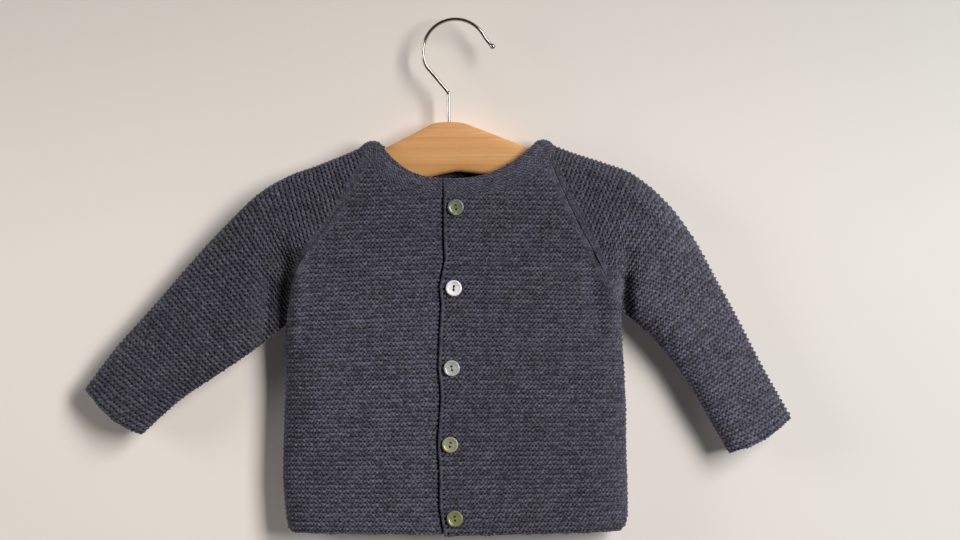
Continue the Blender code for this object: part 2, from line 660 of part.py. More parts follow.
for wearer_side in ("right", "left"):
    make_front(wearer_side, materials["knit"], cardigan)
    make_sleeve(wearer_side, materials["knit"], cardigan)
make_back(materials["knit"], cardigan)
make_neckband(materials["knit"], cardigan)
for index, place in enumerate(BUTTON_CENTRES, start=1):
    make_button(index, place, materials["button_%d" % index], cardigan, cutter_collection)
make_bar(materials["wood"], cardigan, cutter_collection)
make_hook(materials["chrome"], cardigan)
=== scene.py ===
"""Baby cardigan in garter stitch, buttoned up on a small wooden hanger with a wire hook.

Frame: x runs to the right as the garment hangs, z is up and the front faces -y. The origin is the
inner top of the hook. Left and right are the wearer's, so the left front and sleeve are at +x.
Tables and lengths are in millimetres, meshes in metres.
"""
import math

import bmesh
import bpy
import numpy as np
from mathutils import Euler, Matrix, Vector


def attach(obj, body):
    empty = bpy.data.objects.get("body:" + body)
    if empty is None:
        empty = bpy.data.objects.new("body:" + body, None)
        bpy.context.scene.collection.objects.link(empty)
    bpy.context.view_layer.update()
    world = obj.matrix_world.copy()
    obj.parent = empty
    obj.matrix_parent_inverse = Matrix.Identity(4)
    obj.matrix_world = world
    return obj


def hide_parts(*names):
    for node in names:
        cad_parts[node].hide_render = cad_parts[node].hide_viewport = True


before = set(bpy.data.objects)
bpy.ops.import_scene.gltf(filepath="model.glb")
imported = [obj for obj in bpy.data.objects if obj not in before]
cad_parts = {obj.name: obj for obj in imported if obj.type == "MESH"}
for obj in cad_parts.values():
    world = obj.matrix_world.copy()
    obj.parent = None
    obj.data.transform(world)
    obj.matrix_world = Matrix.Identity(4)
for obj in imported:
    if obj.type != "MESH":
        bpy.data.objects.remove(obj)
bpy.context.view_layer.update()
MM = 0.001


# ---------------------------------------------------------------- camera
# The garment is seen straight from the front, from about 1.6 metres away, with the hook near the top of
# the view and the hem at its lower edge.

VIEW_DISTANCE = 1587.0
VIEW_CENTRE = (17.2, -174.5)
LENS, SENSOR_WIDTH = 85, 36


def new_object(name, data):
    """New object with this data, linked into the scene."""
    made = bpy.data.objects.new(name, data)
    bpy.context.scene.collection.objects.link(made)
    return made


camera_data = bpy.data.cameras.new("camera")
camera_data.lens = LENS
camera_data.sensor_width = SENSOR_WIDTH
camera = new_object("camera", camera_data)
camera.location = (VIEW_CENTRE[0] * MM, -VIEW_DISTANCE * MM, VIEW_CENTRE[1] * MM)
camera.rotation_euler = (math.pi / 2, 0, 0)
bpy.context.scene.camera = camera
bpy.context.scene.view_settings.view_transform = "Standard"


# ---------------------------------------------------------------- left and right front
# Two fronts hand-knitted in garter stitch from soft navy-grey melange wool. The rows run across, and two
# columns of plain stitches run beside each raglan seam until shortly above the underarm. The left front
# lies on top with a slipped-stitch edge.

FRONT, BACK = -1, 1      # which way along y a face of the garment looks
STITCH = 2.84            # width of a stitch
RIDGE = 3.32             # height of a garter ridge, which is two rows of knitting
BODY_RIDGES = 79.6       # from the raglan's top to the hem, which ends on a ridge
WALL = 2.5               # thickness of the cloth
MID_GAP = 0.15           # from the garment's middle plane to the edge of a front or of the back
RELIEF = 2.4             # from the valley between two ridges to the top of a stitch
RELIEF_LOW = -1.3        # height of that valley against the solid's surface
GARTER_WAVE, GARTER_CROSS, GARTER_SECOND = 0.38, 0.13, -0.08     # waves that make a garter stitch
PLAIN_WIDTH = (5.2, 6.4)     # plain columns give way to garter between these distances from a seam
PLAIN_END = {FRONT: (7.9, 9.1), BACK: (9.6, 10.4)}     # rows of the body over which these columns end
NO_SEAM = 30.0           # added to the distance from a seam where no plain columns run beside it
LEG_LEAN = 2.2           # how steeply the two legs of a plain stitch rise
STITCH_CHANCE = (12.9898, 78.233)    # factors that raise each stitch by a chance of its own
FRONT_SLANT = {"left": 0.21, "right": 0.205}     # lean of the stitches: more lean leaves less of a ridge
FRONT_PAINTED_LIGHT = {"left": (0.93, 1.0), "right": (0.93, 1.12)}     # painted light: colour scaled at the top and lower down, darker at the top, lighter below on the right front
DARK_YARN, PALE_YARN = (0.033, 0.0325, 0.0455, 1), (0.122, 0.119, 0.163, 1)

SLEEVE_COLUMNS = ("x_top", "z_top", "x_low", "z_low", "depth", "top_round", "low_round")
SLEEVE_ROWS = {          # rows from the neck over the underarm (5) to the cuff (9)
    "right": [
        (-66.1, -88.8, -61.9, -97.5, 9.8, 8.6, 20), (-77.3, -93.7, -71.0, -112.9, 10.4, 12, 22),
        (-98.6, -102.1, -86.9, -140.9, 11.0, 14, 24), (-117.5, -109.1, -102.5, -160.5, 11.5, 15, 26),
        (-139.6, -122.7, -111.9, -180.1, 12.0, 17, 28), (-168.6, -151.2, -118.6, -213.0, 12.0, 20, 26),
        (-191.2, -176.4, -140.3, -229.8, 11.6, 22, 24), (-211.9, -200.2, -166.9, -248.0, 11.0, 22, 22),
        (-236.9, -228.2, -192.8, -265.5, 10.2, 20, 20), (-259.4, -257.8, -220.1, -290.0, 9.4, 17, 17),
    ],
    "left": [
        (68.3, -87.4, 65.5, -96.8, 9.8, 8.6, 20), (84.8, -93.5, 74.6, -118.5, 10.4, 12, 22),
        (105.1, -100.0, 86.6, -143.7, 11.0, 14, 24), (125.0, -108.0, 98.8, -166.1, 11.5, 15, 26),
        (148.1, -127.6, 108.6, -188.5, 12.0, 17, 28), (167.0, -152.8, 115.9, -202.5, 12.0, 20, 26),
        (181.0, -178.0, 134.8, -218.6, 11.6, 22, 24), (197.1, -207.4, 155.1, -242.4, 11.0, 22, 22),
        (215.6, -243.2, 173.3, -271.1, 10.2, 20, 20), (235.3, -277.8, 191.5, -302.6, 9.4, 17, 17),
    ],
}
UNDERARM_ROW, CUFF_ROW = 5, 9
SINK_ROWS = 1.3          # rows over which the raglan seam sinks to the middle plane at the underarm
SIDE_ROWS = {            # x, z from the underarm to the rounded hem corner
    "right": [(-118.6, -213.0), (-119.4, -232.0), (-118.8, -252.0), (-119.8, -285.0), (-120.6, -315.0),
              (-119.3, -336.0), (-117.4, -352.0), (-114.6, -357.6)],
    "left": [(115.9, -202.5), (116.5, -222.0), (117.8, -240.0), (119.0, -268.0), (119.5, -300.0),
             (120.4, -330.0), (120.0, -348.5), (116.0, -356.4)],
}
CENTRE_EDGE_ROWS = [     # x, z down the front edge of the left front
    (-8.0, -90.0), (-8.0, -122.0), (-8.0, -150.0), (-7.2, -167.0), (-10.9, -186.0), (-9.6, -199.0),
    (-11.0, -222.0), (-11.6, -242.0), (-9.8, -262.0), (-12.0, -294.0), (-10.8, -316.0),
    (-10.8, -340.0), (-7.4, -359.6),
]
UNDER_EDGE_X = 7.4       # the right front's edge
UNDER_FLAT, UNDER_BLEND, UNDER_GAP = 21.5, 15.0, 0.3     # how far that front is pressed back, and its gap
ROW_RISE = {             # rise of a row from its side to the front edge: at the neck, underarm and hem
    "right": (2.5, 5.0, -0.8),
    "left": (1.0, 1.5, -3.2),
}
DEPTHS = {FRONT: (12.5, 14.0), BACK: (10.5, 11.5)}     # from the middle plane, at these two heights
DEPTH_Z_TOP, DEPTH_Z_HEM = -97.0, -358.0
SLEEVE_SHARE = {FRONT: 1.0, BACK: 0.92}     # of a sleeve's depth, on this face
SIDE_ROUND = 30.0
SEAM_Z = {FRONT: -122.0, BACK: -110.8}      # of the neckband's seam in the middle
NECK_POWERS = {          # how squarely the neckline turns up, at the band's seam and at its rim
    FRONT: {"right": (3.3, 3.0), "left": (2.85, 2.2)},
    BACK: {"right": (3.0, 4.0), "left": (3.0, 4.0)},
}
SEAM_LINE_OFFSET = {"right": 1.3, "left": 0.72}     # how far a raglan seam's painted shade line, its laid-back groove and its plain columns are moved off the seam
SEAM_LINE_DIP = (0.67, 2.1, 1.1)             # where that offset shrinks on the left side so the line shows: how much, round which row, and over how many
SEAM_ROLL, HEM_ROLL, NECK_ROLL = (0.35, 1.5), (1.3, 1.9), (0.3, 1.4)     # how far laid back, over what
UNEVEN_ACROSS = [(0.09, 1.7, 0.9, 0.0), (0.09, -1.3, 2.9, 1.0), (0.06, 4.1, 3.3, 0.5)]
UNEVEN_DOWN = [(0.055, 1.1, 0.7, 2.0), (0.055, 2.3, -0.5, 0.0), (0.04, 3.9, 1.9, 0.0)]
FOLD_LIMIT = 0.85        # a trough takes no more than this share of the depth
FOLDS = {                # x, z from and to, how wide, and how deep a trough is: a ridge is negative
    FRONT: [
        (95.0, -168.0, 99.0, -214.0, 6.0, 2.0), (106.5, -170.0, 109.5, -215.0, 5.0, -1.0),
        (-108.5, -178.0, -112.5, -226.0, 5.0, -2.8), (-119.5, -180.0, -121.0, -213.0, 4.6, 5.0),
        (66.0, -166.0, 92.0, -167.0, 6.0, 0.8), (88.0, -235.0, 90.0, -300.0, 14.0, 0.9),
        (58.0, -262.0, 62.0, -290.0, 13.0, -0.6), (-84.0, -262.0, -66.0, -300.0, 16.0, -0.8),
        (-104.0, -305.0, -96.0, -335.0, 10.0, 0.8), (-80.0, -338.0, -48.0, -343.0, 7.0, 0.5),
        (-90.0, -140.0, -82.0, -160.0, 12.0, -0.6), (-68.0, -146.0, -52.0, -158.0, 9.0, 0.6),
        (34.0, -140.0, 60.0, -150.0, 10.0, 0.5), (20.0, -205.0, 60.0, -212.0, 9.0, 0.4),
        (-60.0, -196.0, -30.0, -200.0, 8.0, 0.4), (20.0, -318.0, 70.0, -324.0, 9.0, 0.5),
    ],
    BACK: [
        (-96.0, -178.0, -98.0, -215.0, 7.0, 1.8), (98.0, -172.0, 101.0, -212.0, 7.0, 1.6),
        (-60.0, -165.0, 10.0, -172.0, 10.0, 0.8), (40.0, -240.0, 70.0, -300.0, 15.0, 0.9),
        (-70.0, -250.0, -40.0, -305.0, 16.0, 0.8), (-20.0, -300.0, 30.0, -330.0, 12.0, -0.6),
        (-30.0, -128.0, 35.0, -130.0, 8.0, 0.7),
    ],
}


def smooth(values, t, first=0, last=None):
    """Column values at the row numbers t, on a smooth curve through the rows from first to last."""
    values, t = np.asarray(values, float), np.asarray(t, float)
    last = len(values) - 1 if last is None else last
    i = np.clip(np.floor(t).astype(int), first, last - 1)
    f = t - i
    a, b = values[i], values[i + 1]
    before = np.where(i > first, values[np.maximum(i - 1, 0)], 2 * a - b)
    after = np.where(i + 2 <= last, values[np.minimum(i + 2, last)], 2 * b - a)
    return 0.5 * (2 * a + (b - before) * f + (2 * before - 5 * a + 4 * b - after) * f ** 2
                  + (3 * a - before - 3 * b + after) * f ** 3)


def round_off(p):
    """Quarter-round from 0 at p = 0 to 1 at p = 1 and beyond."""
    return np.sqrt(1.0 - (1.0 - np.clip(p, 0.0, 1.0)) ** 2)


def ease(low, high, x):
    p = np.clip((x - low) / (high - low), 0.0, 1.0)
    return p * p * (3 - 2 * p)


def sleeve_rows(side, t):
    """Top and lower end of the rows t in the x-z plane, their depth and the rounding of their ends."""
    t = np.asarray(t, float)
    columns = dict(zip(SLEEVE_COLUMNS, zip(*SLEEVE_ROWS[side])))
    top = np.stack([smooth(columns[name], t) for name in ("x_top", "z_top")], axis=-1)
    upper, lower = (np.stack([smooth(columns[name], t, *part) for name in ("x_low", "z_low")], axis=-1)
                    for part in ((0, UNDERARM_ROW), (UNDERARM_ROW, CUFF_ROW)))
    low = np.where((t <= UNDERARM_ROW)[..., None], upper, lower)
    return top, low, *(smooth(columns[name], t) for name in ("depth", "top_round", "low_round"))


def raglan_share(t):
    """Depth of the raglan seam at row t as a share of the sleeve's depth: 0 from the underarm on."""
    return round_off((UNDERARM_ROW - np.asarray(t, float)) / SINK_ROWS)


def seam_line_offset(side, t):
    """How far the painted shade line along the raglan seam, and the seam's laid-back groove, are moved off it
    at row t. On the left side the line shows broken.
    """
    if side == "right":
        return np.full_like(t, SEAM_LINE_OFFSET[side])
    much, middle, reach = SEAM_LINE_DIP
    return SEAM_LINE_OFFSET[side] - much * np.exp(-((t - middle) / reach) ** 2) + 0.12 * np.sin(9 * t)


def sink(folds, x, z, depth, limit=FOLD_LIMIT):
    """Depth of a skin with the soft folds of its face laid into it, down to a limit of its depth."""
    for x0, z0, x1, z1, width, deep in folds:
        run = np.array([x1 - x0, z1 - z0])
        along = np.clip(((x - x0) * run[0] + (z - z0) * run[1]) / (run @ run), 0.0, 1.0)
        off = np.hypot(x - x0 - along * run[0], z - z0 - along * run[1])
        depth = depth - np.minimum(deep, limit * np.maximum(depth, 0.0)) * np.exp(-(off / width) ** 2)
    return depth


def body_edge(side, rows):
    """Outer ends of the body rows, on the raglan seam to row 10 and then down the side to row 20,
    with the seam's share of the sleeve's depth there and that depth."""
    t = np.clip(rows / 2, 0, UNDERARM_ROW)
    _, low, depth = sleeve_rows(side, t)[:3]
    side_t = np.clip((rows - 10) / 10, 0, 1) * (len(SIDE_ROWS[side]) - 1)
    flank = np.stack([smooth([row[k] for row in SIDE_ROWS[side]], side_t) for k in (0, 1)], axis=-1)
    ends = np.where((rows <= 10)[:, None], low, flank)
    return ends, np.where(rows < 10, raglan_share(t), 0.0), depth


def body_depth(face, z):
    """Depth of the body away from its sides, which grows a little towards the hem."""
    top, hem = DEPTHS[face]
    return top + (hem - top) * (DEPTH_Z_TOP - z) / (DEPTH_Z_TOP - DEPTH_Z_HEM)


def body_points(face, x, z, edge_x, share, sleeve_depth, inset, push):
    """Points of a front or the back, on the skin inset from the outside."""
    edge_inset = inset * (1.0 - share)
    inward = np.where(edge_x < 0, 1.0, -1.0)
    x_skin = x + inward * edge_inset * np.maximum(0.0, 1.0 - np.abs(x - edge_x) / SIDE_ROUND)
    distance = np.maximum(0.0, np.abs(x_skin - edge_x) - edge_inset)
    full = body_depth(face, z) - inset
    edge = np.maximum(MID_GAP, share * (sleeve_depth * SLEEVE_SHARE[face] - inset))
    depth = edge + (full - edge) * round_off(distance / (SIDE_ROUND - edge_inset))
    depth = np.maximum(sink(FOLDS[face], x_skin, z, depth), MID_GAP) - push
    return np.stack([x_skin, face * depth, z], axis=-1)


def front_edge_x(z):
    """Where the left front's edge runs at height z."""
    return np.interp(-z, [-row[1] for row in CENTRE_EDGE_ROWS], [row[0] for row in CENTRE_EDGE_ROWS])


def under_push(face, side, x, z):
    """How much deeper the right front lies where the left one covers it, and just past that one's edge."""
    if (face, side) != (FRONT, "right"):
        return np.zeros_like(x)
    beyond = np.clip((UNDER_EDGE_X - x - UNDER_FLAT) / UNDER_BLEND, 0.0, 1.0)
    return (WALL + UNDER_GAP) * (1.0 - 0.45 * ease(0.0, 2.0, front_edge_x(z) - x)) * (1.0 - beyond)


def neck_line(side, face, x):
    """Height of the neckband's seam at x."""
    reach, high_z = SLEEVE_ROWS[side][0][2:4]
    turn_up = np.minimum(np.abs(x / reach), 1.0) ** NECK_POWERS[face][side][0]
    return SEAM_Z[face] + (high_z - SEAM_Z[face]) * turn_up


def spread(dense, step):
    """Points every step along each row of dense points, and the last one at the row's end. Also the
    distance along the row, the row's length and the column where the row ends."""
    lengths = np.linalg.norm(np.diff(dense, axis=1), axis=2)
    run = np.concatenate([np.zeros((len(dense), 1)), np.cumsum(lengths, axis=1)], axis=1)
    total = run[:, -1]
    columns = int(math.ceil(total.max() / step)) + 2
    distance = np.tile(np.arange(columns) * step, (len(dense), 1))
    ended = distance > (total - step / 2)[:, None]
    distance = np.where(ended, total[:, None], distance)
    points = np.stack([[np.interp(distance[r], run[r], dense[r, :, k]) for r in range(len(dense))]
                       for k in range(3)], axis=-1)
    return points, distance, total, ended.argmax(axis=1)


def uneven(u, v):
    """The stitch and ridge numbers pushed about a little, because no two hand-knitted stitches are alike.
    A wave is its size, its turns per stitch and per ridge, and where it starts."""
    pushed = []
    for numbers, waves in ((u, UNEVEN_ACROSS), (v, UNEVEN_DOWN)):
        for size, across, down, start in waves:
            numbers = numbers + size * np.sin(across * u + down * v + start)
        pushed.append(numbers)
    return pushed


def laid_back(*edges):
    """How far the cloth is laid back at its edges. Each edge is the distance from it and its roll, which
    is how far the cloth is laid back at the edge itself and over what distance."""
    return sum(most * (1 - round_off(distance / reach)) for distance, (most, reach) in edges)


def sewn_calm(to_seam, to_neck, neck_reach=1.2):
    """How far the stitches lie flat beside a raglan seam and below the neckband's seam."""
    return np.maximum(1.0 - ease(0.2, 1.4, to_seam), 1.0 - ease(0.0, neck_reach, to_neck))


def stitch_relief(u, v, e, slant):
    """Height from 0 to 1 of the knitting: garter ridges of round bumps with a hole under each bump, and
    plain columns beside a raglan seam. u counts stitches, v ridges, and e is the distance from the seam."""
    x, y = 2 * np.pi * u, 2 * np.pi * (v - 0.5)
    chance = np.sin(STITCH_CHANCE[0] * np.floor(u + 0.5) + STITCH_CHANCE[1] * np.floor(v))
    top = np.maximum(np.cos(x), 0.0) * (0.5 + 0.5 * np.cos(y))
    garter = (0.5 + (GARTER_WAVE - slant) * np.cos(y) + slant * np.cos(x + y) + GARTER_CROSS * np.cos(x - y)
              + GARTER_SECOND * np.cos(2 * y) + 0.10 * chance * top)
    column = e / STITCH - np.floor(e / STITCH) - 0.5
    leg = 0.5 + 0.5 * np.cos(2 * np.pi * (2 * v + LEG_LEAN * np.abs(column)))
    plain = 0.46 + 0.24 * leg + 0.08 * chance - 0.13 * (2 * column) ** 4
    beside = 1.0 - ease(*PLAIN_WIDTH, e)
    return garter + (plain - garter) * beside


def normals(points, outward):
    """Unit normals of a grid of points, turned to the side that outward points to."""
    normal = np.cross(np.gradient(points, axis=1), np.gradient(points, axis=0))
    size = np.linalg.norm(normal, axis=2, keepdims=True)
    normal = normal / np.maximum(size, 1e-9)
    good = size[..., 0] > 1e-6
    flip = np.sum((normal * outward)[good], axis=-1).mean() < 0
    return -normal if flip else normal


def dress(points, u, v, e, slant, outward, calm, roll, to_edge=None):
    """The points raised to the stitches, which calm smooths out, and laid back by roll. Ridges stand
    further out where the cloth turns away, and the cast-on or cast-off edge, at to_edge 0, is ragged."""
    height = stitch_relief(u, v, e, slant)
    height = height + (0.55 - height) * calm
    normal = normals(points, outward)
    height += 0.1 * np.cos(2 * np.pi * (v - 0.5)) * (1.0 - np.abs(normal[..., 1])) * (1.0 - calm)
    raised = points + normal * (RELIEF_LOW + RELIEF * height - roll)[..., None]
    if to_edge is not None:
        onward = np.gradient(points, axis=0)
        onward /= np.maximum(np.linalg.norm(onward, axis=2, keepdims=True), 1e-6)
        ragged = 0.30 * np.cos(2 * np.pi * u) + 0.28 * np.sin(1.3 * u + 0.4) + 0.22 * np.sin(0.57 * u + 2.0)
        raised += onward * (ragged * np.exp(-(to_edge / 2.2) ** 2))[..., None]
    return raised


def mesh_from(name, bm):
    """New mesh with what the bmesh holds, which is freed."""
    mesh = bpy.data.meshes.new(name)
    bm.to_mesh(mesh)
    bm.free()
    return mesh


def skin_mesh(name, skins):
    """The grids of points as one mesh, with each point's stitch numbers and the number of its skin."""
    bm = bmesh.new()
    for points, _ in skins:
        bmesh.ops.create_grid(bm, x_segments=points.shape[1] - 1, y_segments=points.shape[0] - 1, size=1.0)
    mesh = mesh_from(name, bm)
    places = np.empty(len(mesh.vertices) * 3, "f")
    mesh.vertices.foreach_get("co", places)
    places = places.reshape(-1, 3)
    stitches = np.zeros_like(places)
    skin_number = np.zeros(len(places), "i")
    start = 0
    for number, (points, knit) in enumerate(skins):
        rows, columns = points.shape[:2]
        part = slice(start, start + rows * columns)
        column = np.rint((places[part, 0] + 1) / 2 * (columns - 1)).astype(int)
        row = np.rint((1 - places[part, 1]) / 2 * (rows - 1)).astype(int)
        places[part], stitches[part], skin_number[part] = points[row, column] * MM, knit[row, column], number
        start += rows * columns
    mesh.vertices.foreach_set("co", places.ravel())
    mesh.attributes.new("knit", "FLOAT_VECTOR", "POINT").data.foreach_set("vector", stitches.ravel())
    mesh.attributes.new("skin", "INT", "POINT").data.foreach_set("value", skin_number)
    return mesh


def knit_cloth(name, slant, painted_light_setting, skins):
    """One wall from a fine outer and a coarse inner grid of points, joined round their edges. Points
    that fall together are merged, so a grid may end raggedly or close into a tube."""
    mesh = skin_mesh(name, skins)
    bm = bmesh.new()
    bm.from_mesh(mesh)
    bmesh.ops.remove_doubles(bm, verts=bm.verts, dist=2e-6)
    skin = bm.verts.layers.int["skin"]
    loops = edge_loops(bm)
    inner = [loop for loop in loops if loop[0][skin] == 1]
    for outer in [loop for loop in loops if loop[0][skin] == 0]:
        if inner:
            centre = loop_centre(outer)
            zip_loops(bm, outer, min(inner, key=lambda loop: (loop_centre(loop) - centre).length))
        else:
            bm.faces.new(outer)
    bmesh.ops.recalc_face_normals(bm, faces=bm.faces)
    bm.to_mesh(mesh)
    bm.free()
    mesh.attributes.remove(mesh.attributes["skin"])
    mesh.shade_smooth()
    mesh.materials.append(knit_material(name.replace("knitted", "wool"), slant, painted_light_setting))
    piece = new_object(name, mesh)
    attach(piece, "root")
    return piece


def loop_centre(loop):
    return sum((vert.co for vert in loop), Vector()) / len(loop)


def edge_loops(bm):
    """The free edges of the bmesh as closed loops of vertices, walked with the faces on one side."""
    free = {edge for edge in bm.edges if edge.is_boundary}
    loops = []
    while free:
        corner = next(iter(free)).link_loops[0]
        loop = []
        while corner.edge in free:
            free.discard(corner.edge)
            loop.append(corner.vert)
            corner = corner.link_loop_next
            while not corner.edge.is_boundary:
                corner = corner.link_loop_radial_next.link_loop_next
        loops.append(loop)
    return loops


def zip_loops(bm, fine, coarse):
    """Triangles between two closed loops that run side by side."""
    start = min(range(len(coarse)), key=lambda k: (coarse[k].co - fine[0].co).length)
    coarse = coarse[start:] + coarse[:start]
    a, b = 0, 0
    while a < len(fine) or b < len(coarse):
        here, there = fine[a % len(fine)], coarse[b % len(coarse)]
        next_fine, next_coarse = fine[(a + 1) % len(fine)], coarse[(b + 1) % len(coarse)]
        step_fine = b == len(coarse) or (a < len(fine) and (next_fine.co - there.co).length
                                         <= (next_coarse.co - here.co).length)
        bm.faces.new((here, next_fine, there) if step_fine else (here, next_coarse, there))
        a, b = (a + 1, b) if step_fine else (a, b + 1)


def maths(tree, operation, *values):
    """Output of a Math node of this tree, fed by sockets or numbers."""
    node = tree.nodes.new("ShaderNodeMath")
    node.operation = operation
    for socket, value in zip(node.inputs, values):
        if isinstance(value, bpy.types.NodeSocket):
            tree.links.new(value, socket)
        else:
            socket.default_value = value
    return node.outputs[0]


def mixed(tree, factor, a, b, blend="MIX"):
    """Colour output of a Mix node of this tree, fed by sockets, numbers or colours."""
    node = tree.nodes.new("ShaderNodeMix")
    node.data_type = "RGBA"
    node.blend_type = blend
    for socket, value in ((node.inputs[0], factor), (node.inputs[6], a), (node.inputs[7], b)):
        if isinstance(value, bpy.types.NodeSocket):
            tree.links.new(value, socket)
        else:
            socket.default_value = value
    return node.outputs[2]


def ranged(tree, value, low, high, to_low=0.0, to_high=1.0):
    """Output of a Map Range node that eases from one value to another."""
    node = tree.nodes.new("ShaderNodeMapRange")
    node.interpolation_type = "SMOOTHSTEP"
    tree.links.new(value, node.inputs[0])
    for socket, number in zip(node.inputs[1:5], (low, high, to_low, to_high)):
        socket.default_value = number
    return node.outputs[0]


def scaled(tree, vector, scale, shift=(0.0, 0.0, 0.0)):
    node = tree.nodes.new("ShaderNodeMapping")
    tree.links.new(vector, node.inputs["Vector"])
    node.inputs["Scale"].default_value = scale
    node.inputs["Location"].default_value = shift
    return node.outputs["Vector"]


def noise(tree, vector, scale, detail, roughness, shift=(0.0, 0.0, 0.0)):
    """Output of a Noise Texture node that reads the vector stretched by scale and moved by shift."""
    node = tree.nodes.new("ShaderNodeTexNoise")
    node.inputs["Scale"].default_value = 1.0
    node.inputs["Detail"].default_value = detail
    node.inputs["Roughness"].default_value = roughness
    tree.links.new(scaled(tree, vector, scale, shift), node.inputs["Vector"])
    return node.outputs["Fac"]


def grey(tree, value):
    """The value as a colour that can be multiplied with another."""
    node = tree.nodes.new("ShaderNodeCombineXYZ")
    for socket in node.inputs:
        tree.links.new(value, socket)
    return node.outputs[0]


def new_material(name, values):
    """New material with these values on its Principled shader; returns it, its node tree and the shader."""
    material = bpy.data.materials.new(name)
    material.use_nodes = True
    shader = material.node_tree.nodes["Principled BSDF"]
    for label, value in values.items():
        shader.inputs[label].default_value = value
    return material, material.node_tree, shader


def add_bump(tree, shader, height, strength, distance):
    bump = tree.nodes.new("ShaderNodeBump")
    bump.inputs["Strength"].default_value = strength
    bump.inputs["Distance"].default_value = distance * MM
    tree.links.new(height, bump.inputs["Height"])
    tree.links.new(bump.outputs["Normal"], shader.inputs["Normal"])


def new_group(name, inputs, outputs):
    """Empty node group with these named sockets; returns the tree and its two ends."""
    tree = bpy.data.node_groups.new(name, "ShaderNodeTree")
    for label, kind, value in inputs:
        socket = tree.interface.new_socket(label, in_out="INPUT", socket_type=kind)
        if value is not None:
            socket.default_value = value
    for label, kind in outputs:
        tree.interface.new_socket(label, in_out="OUTPUT", socket_type=kind)
    return tree, tree.nodes.new("NodeGroupInput"), tree.nodes.new("NodeGroupOutput")


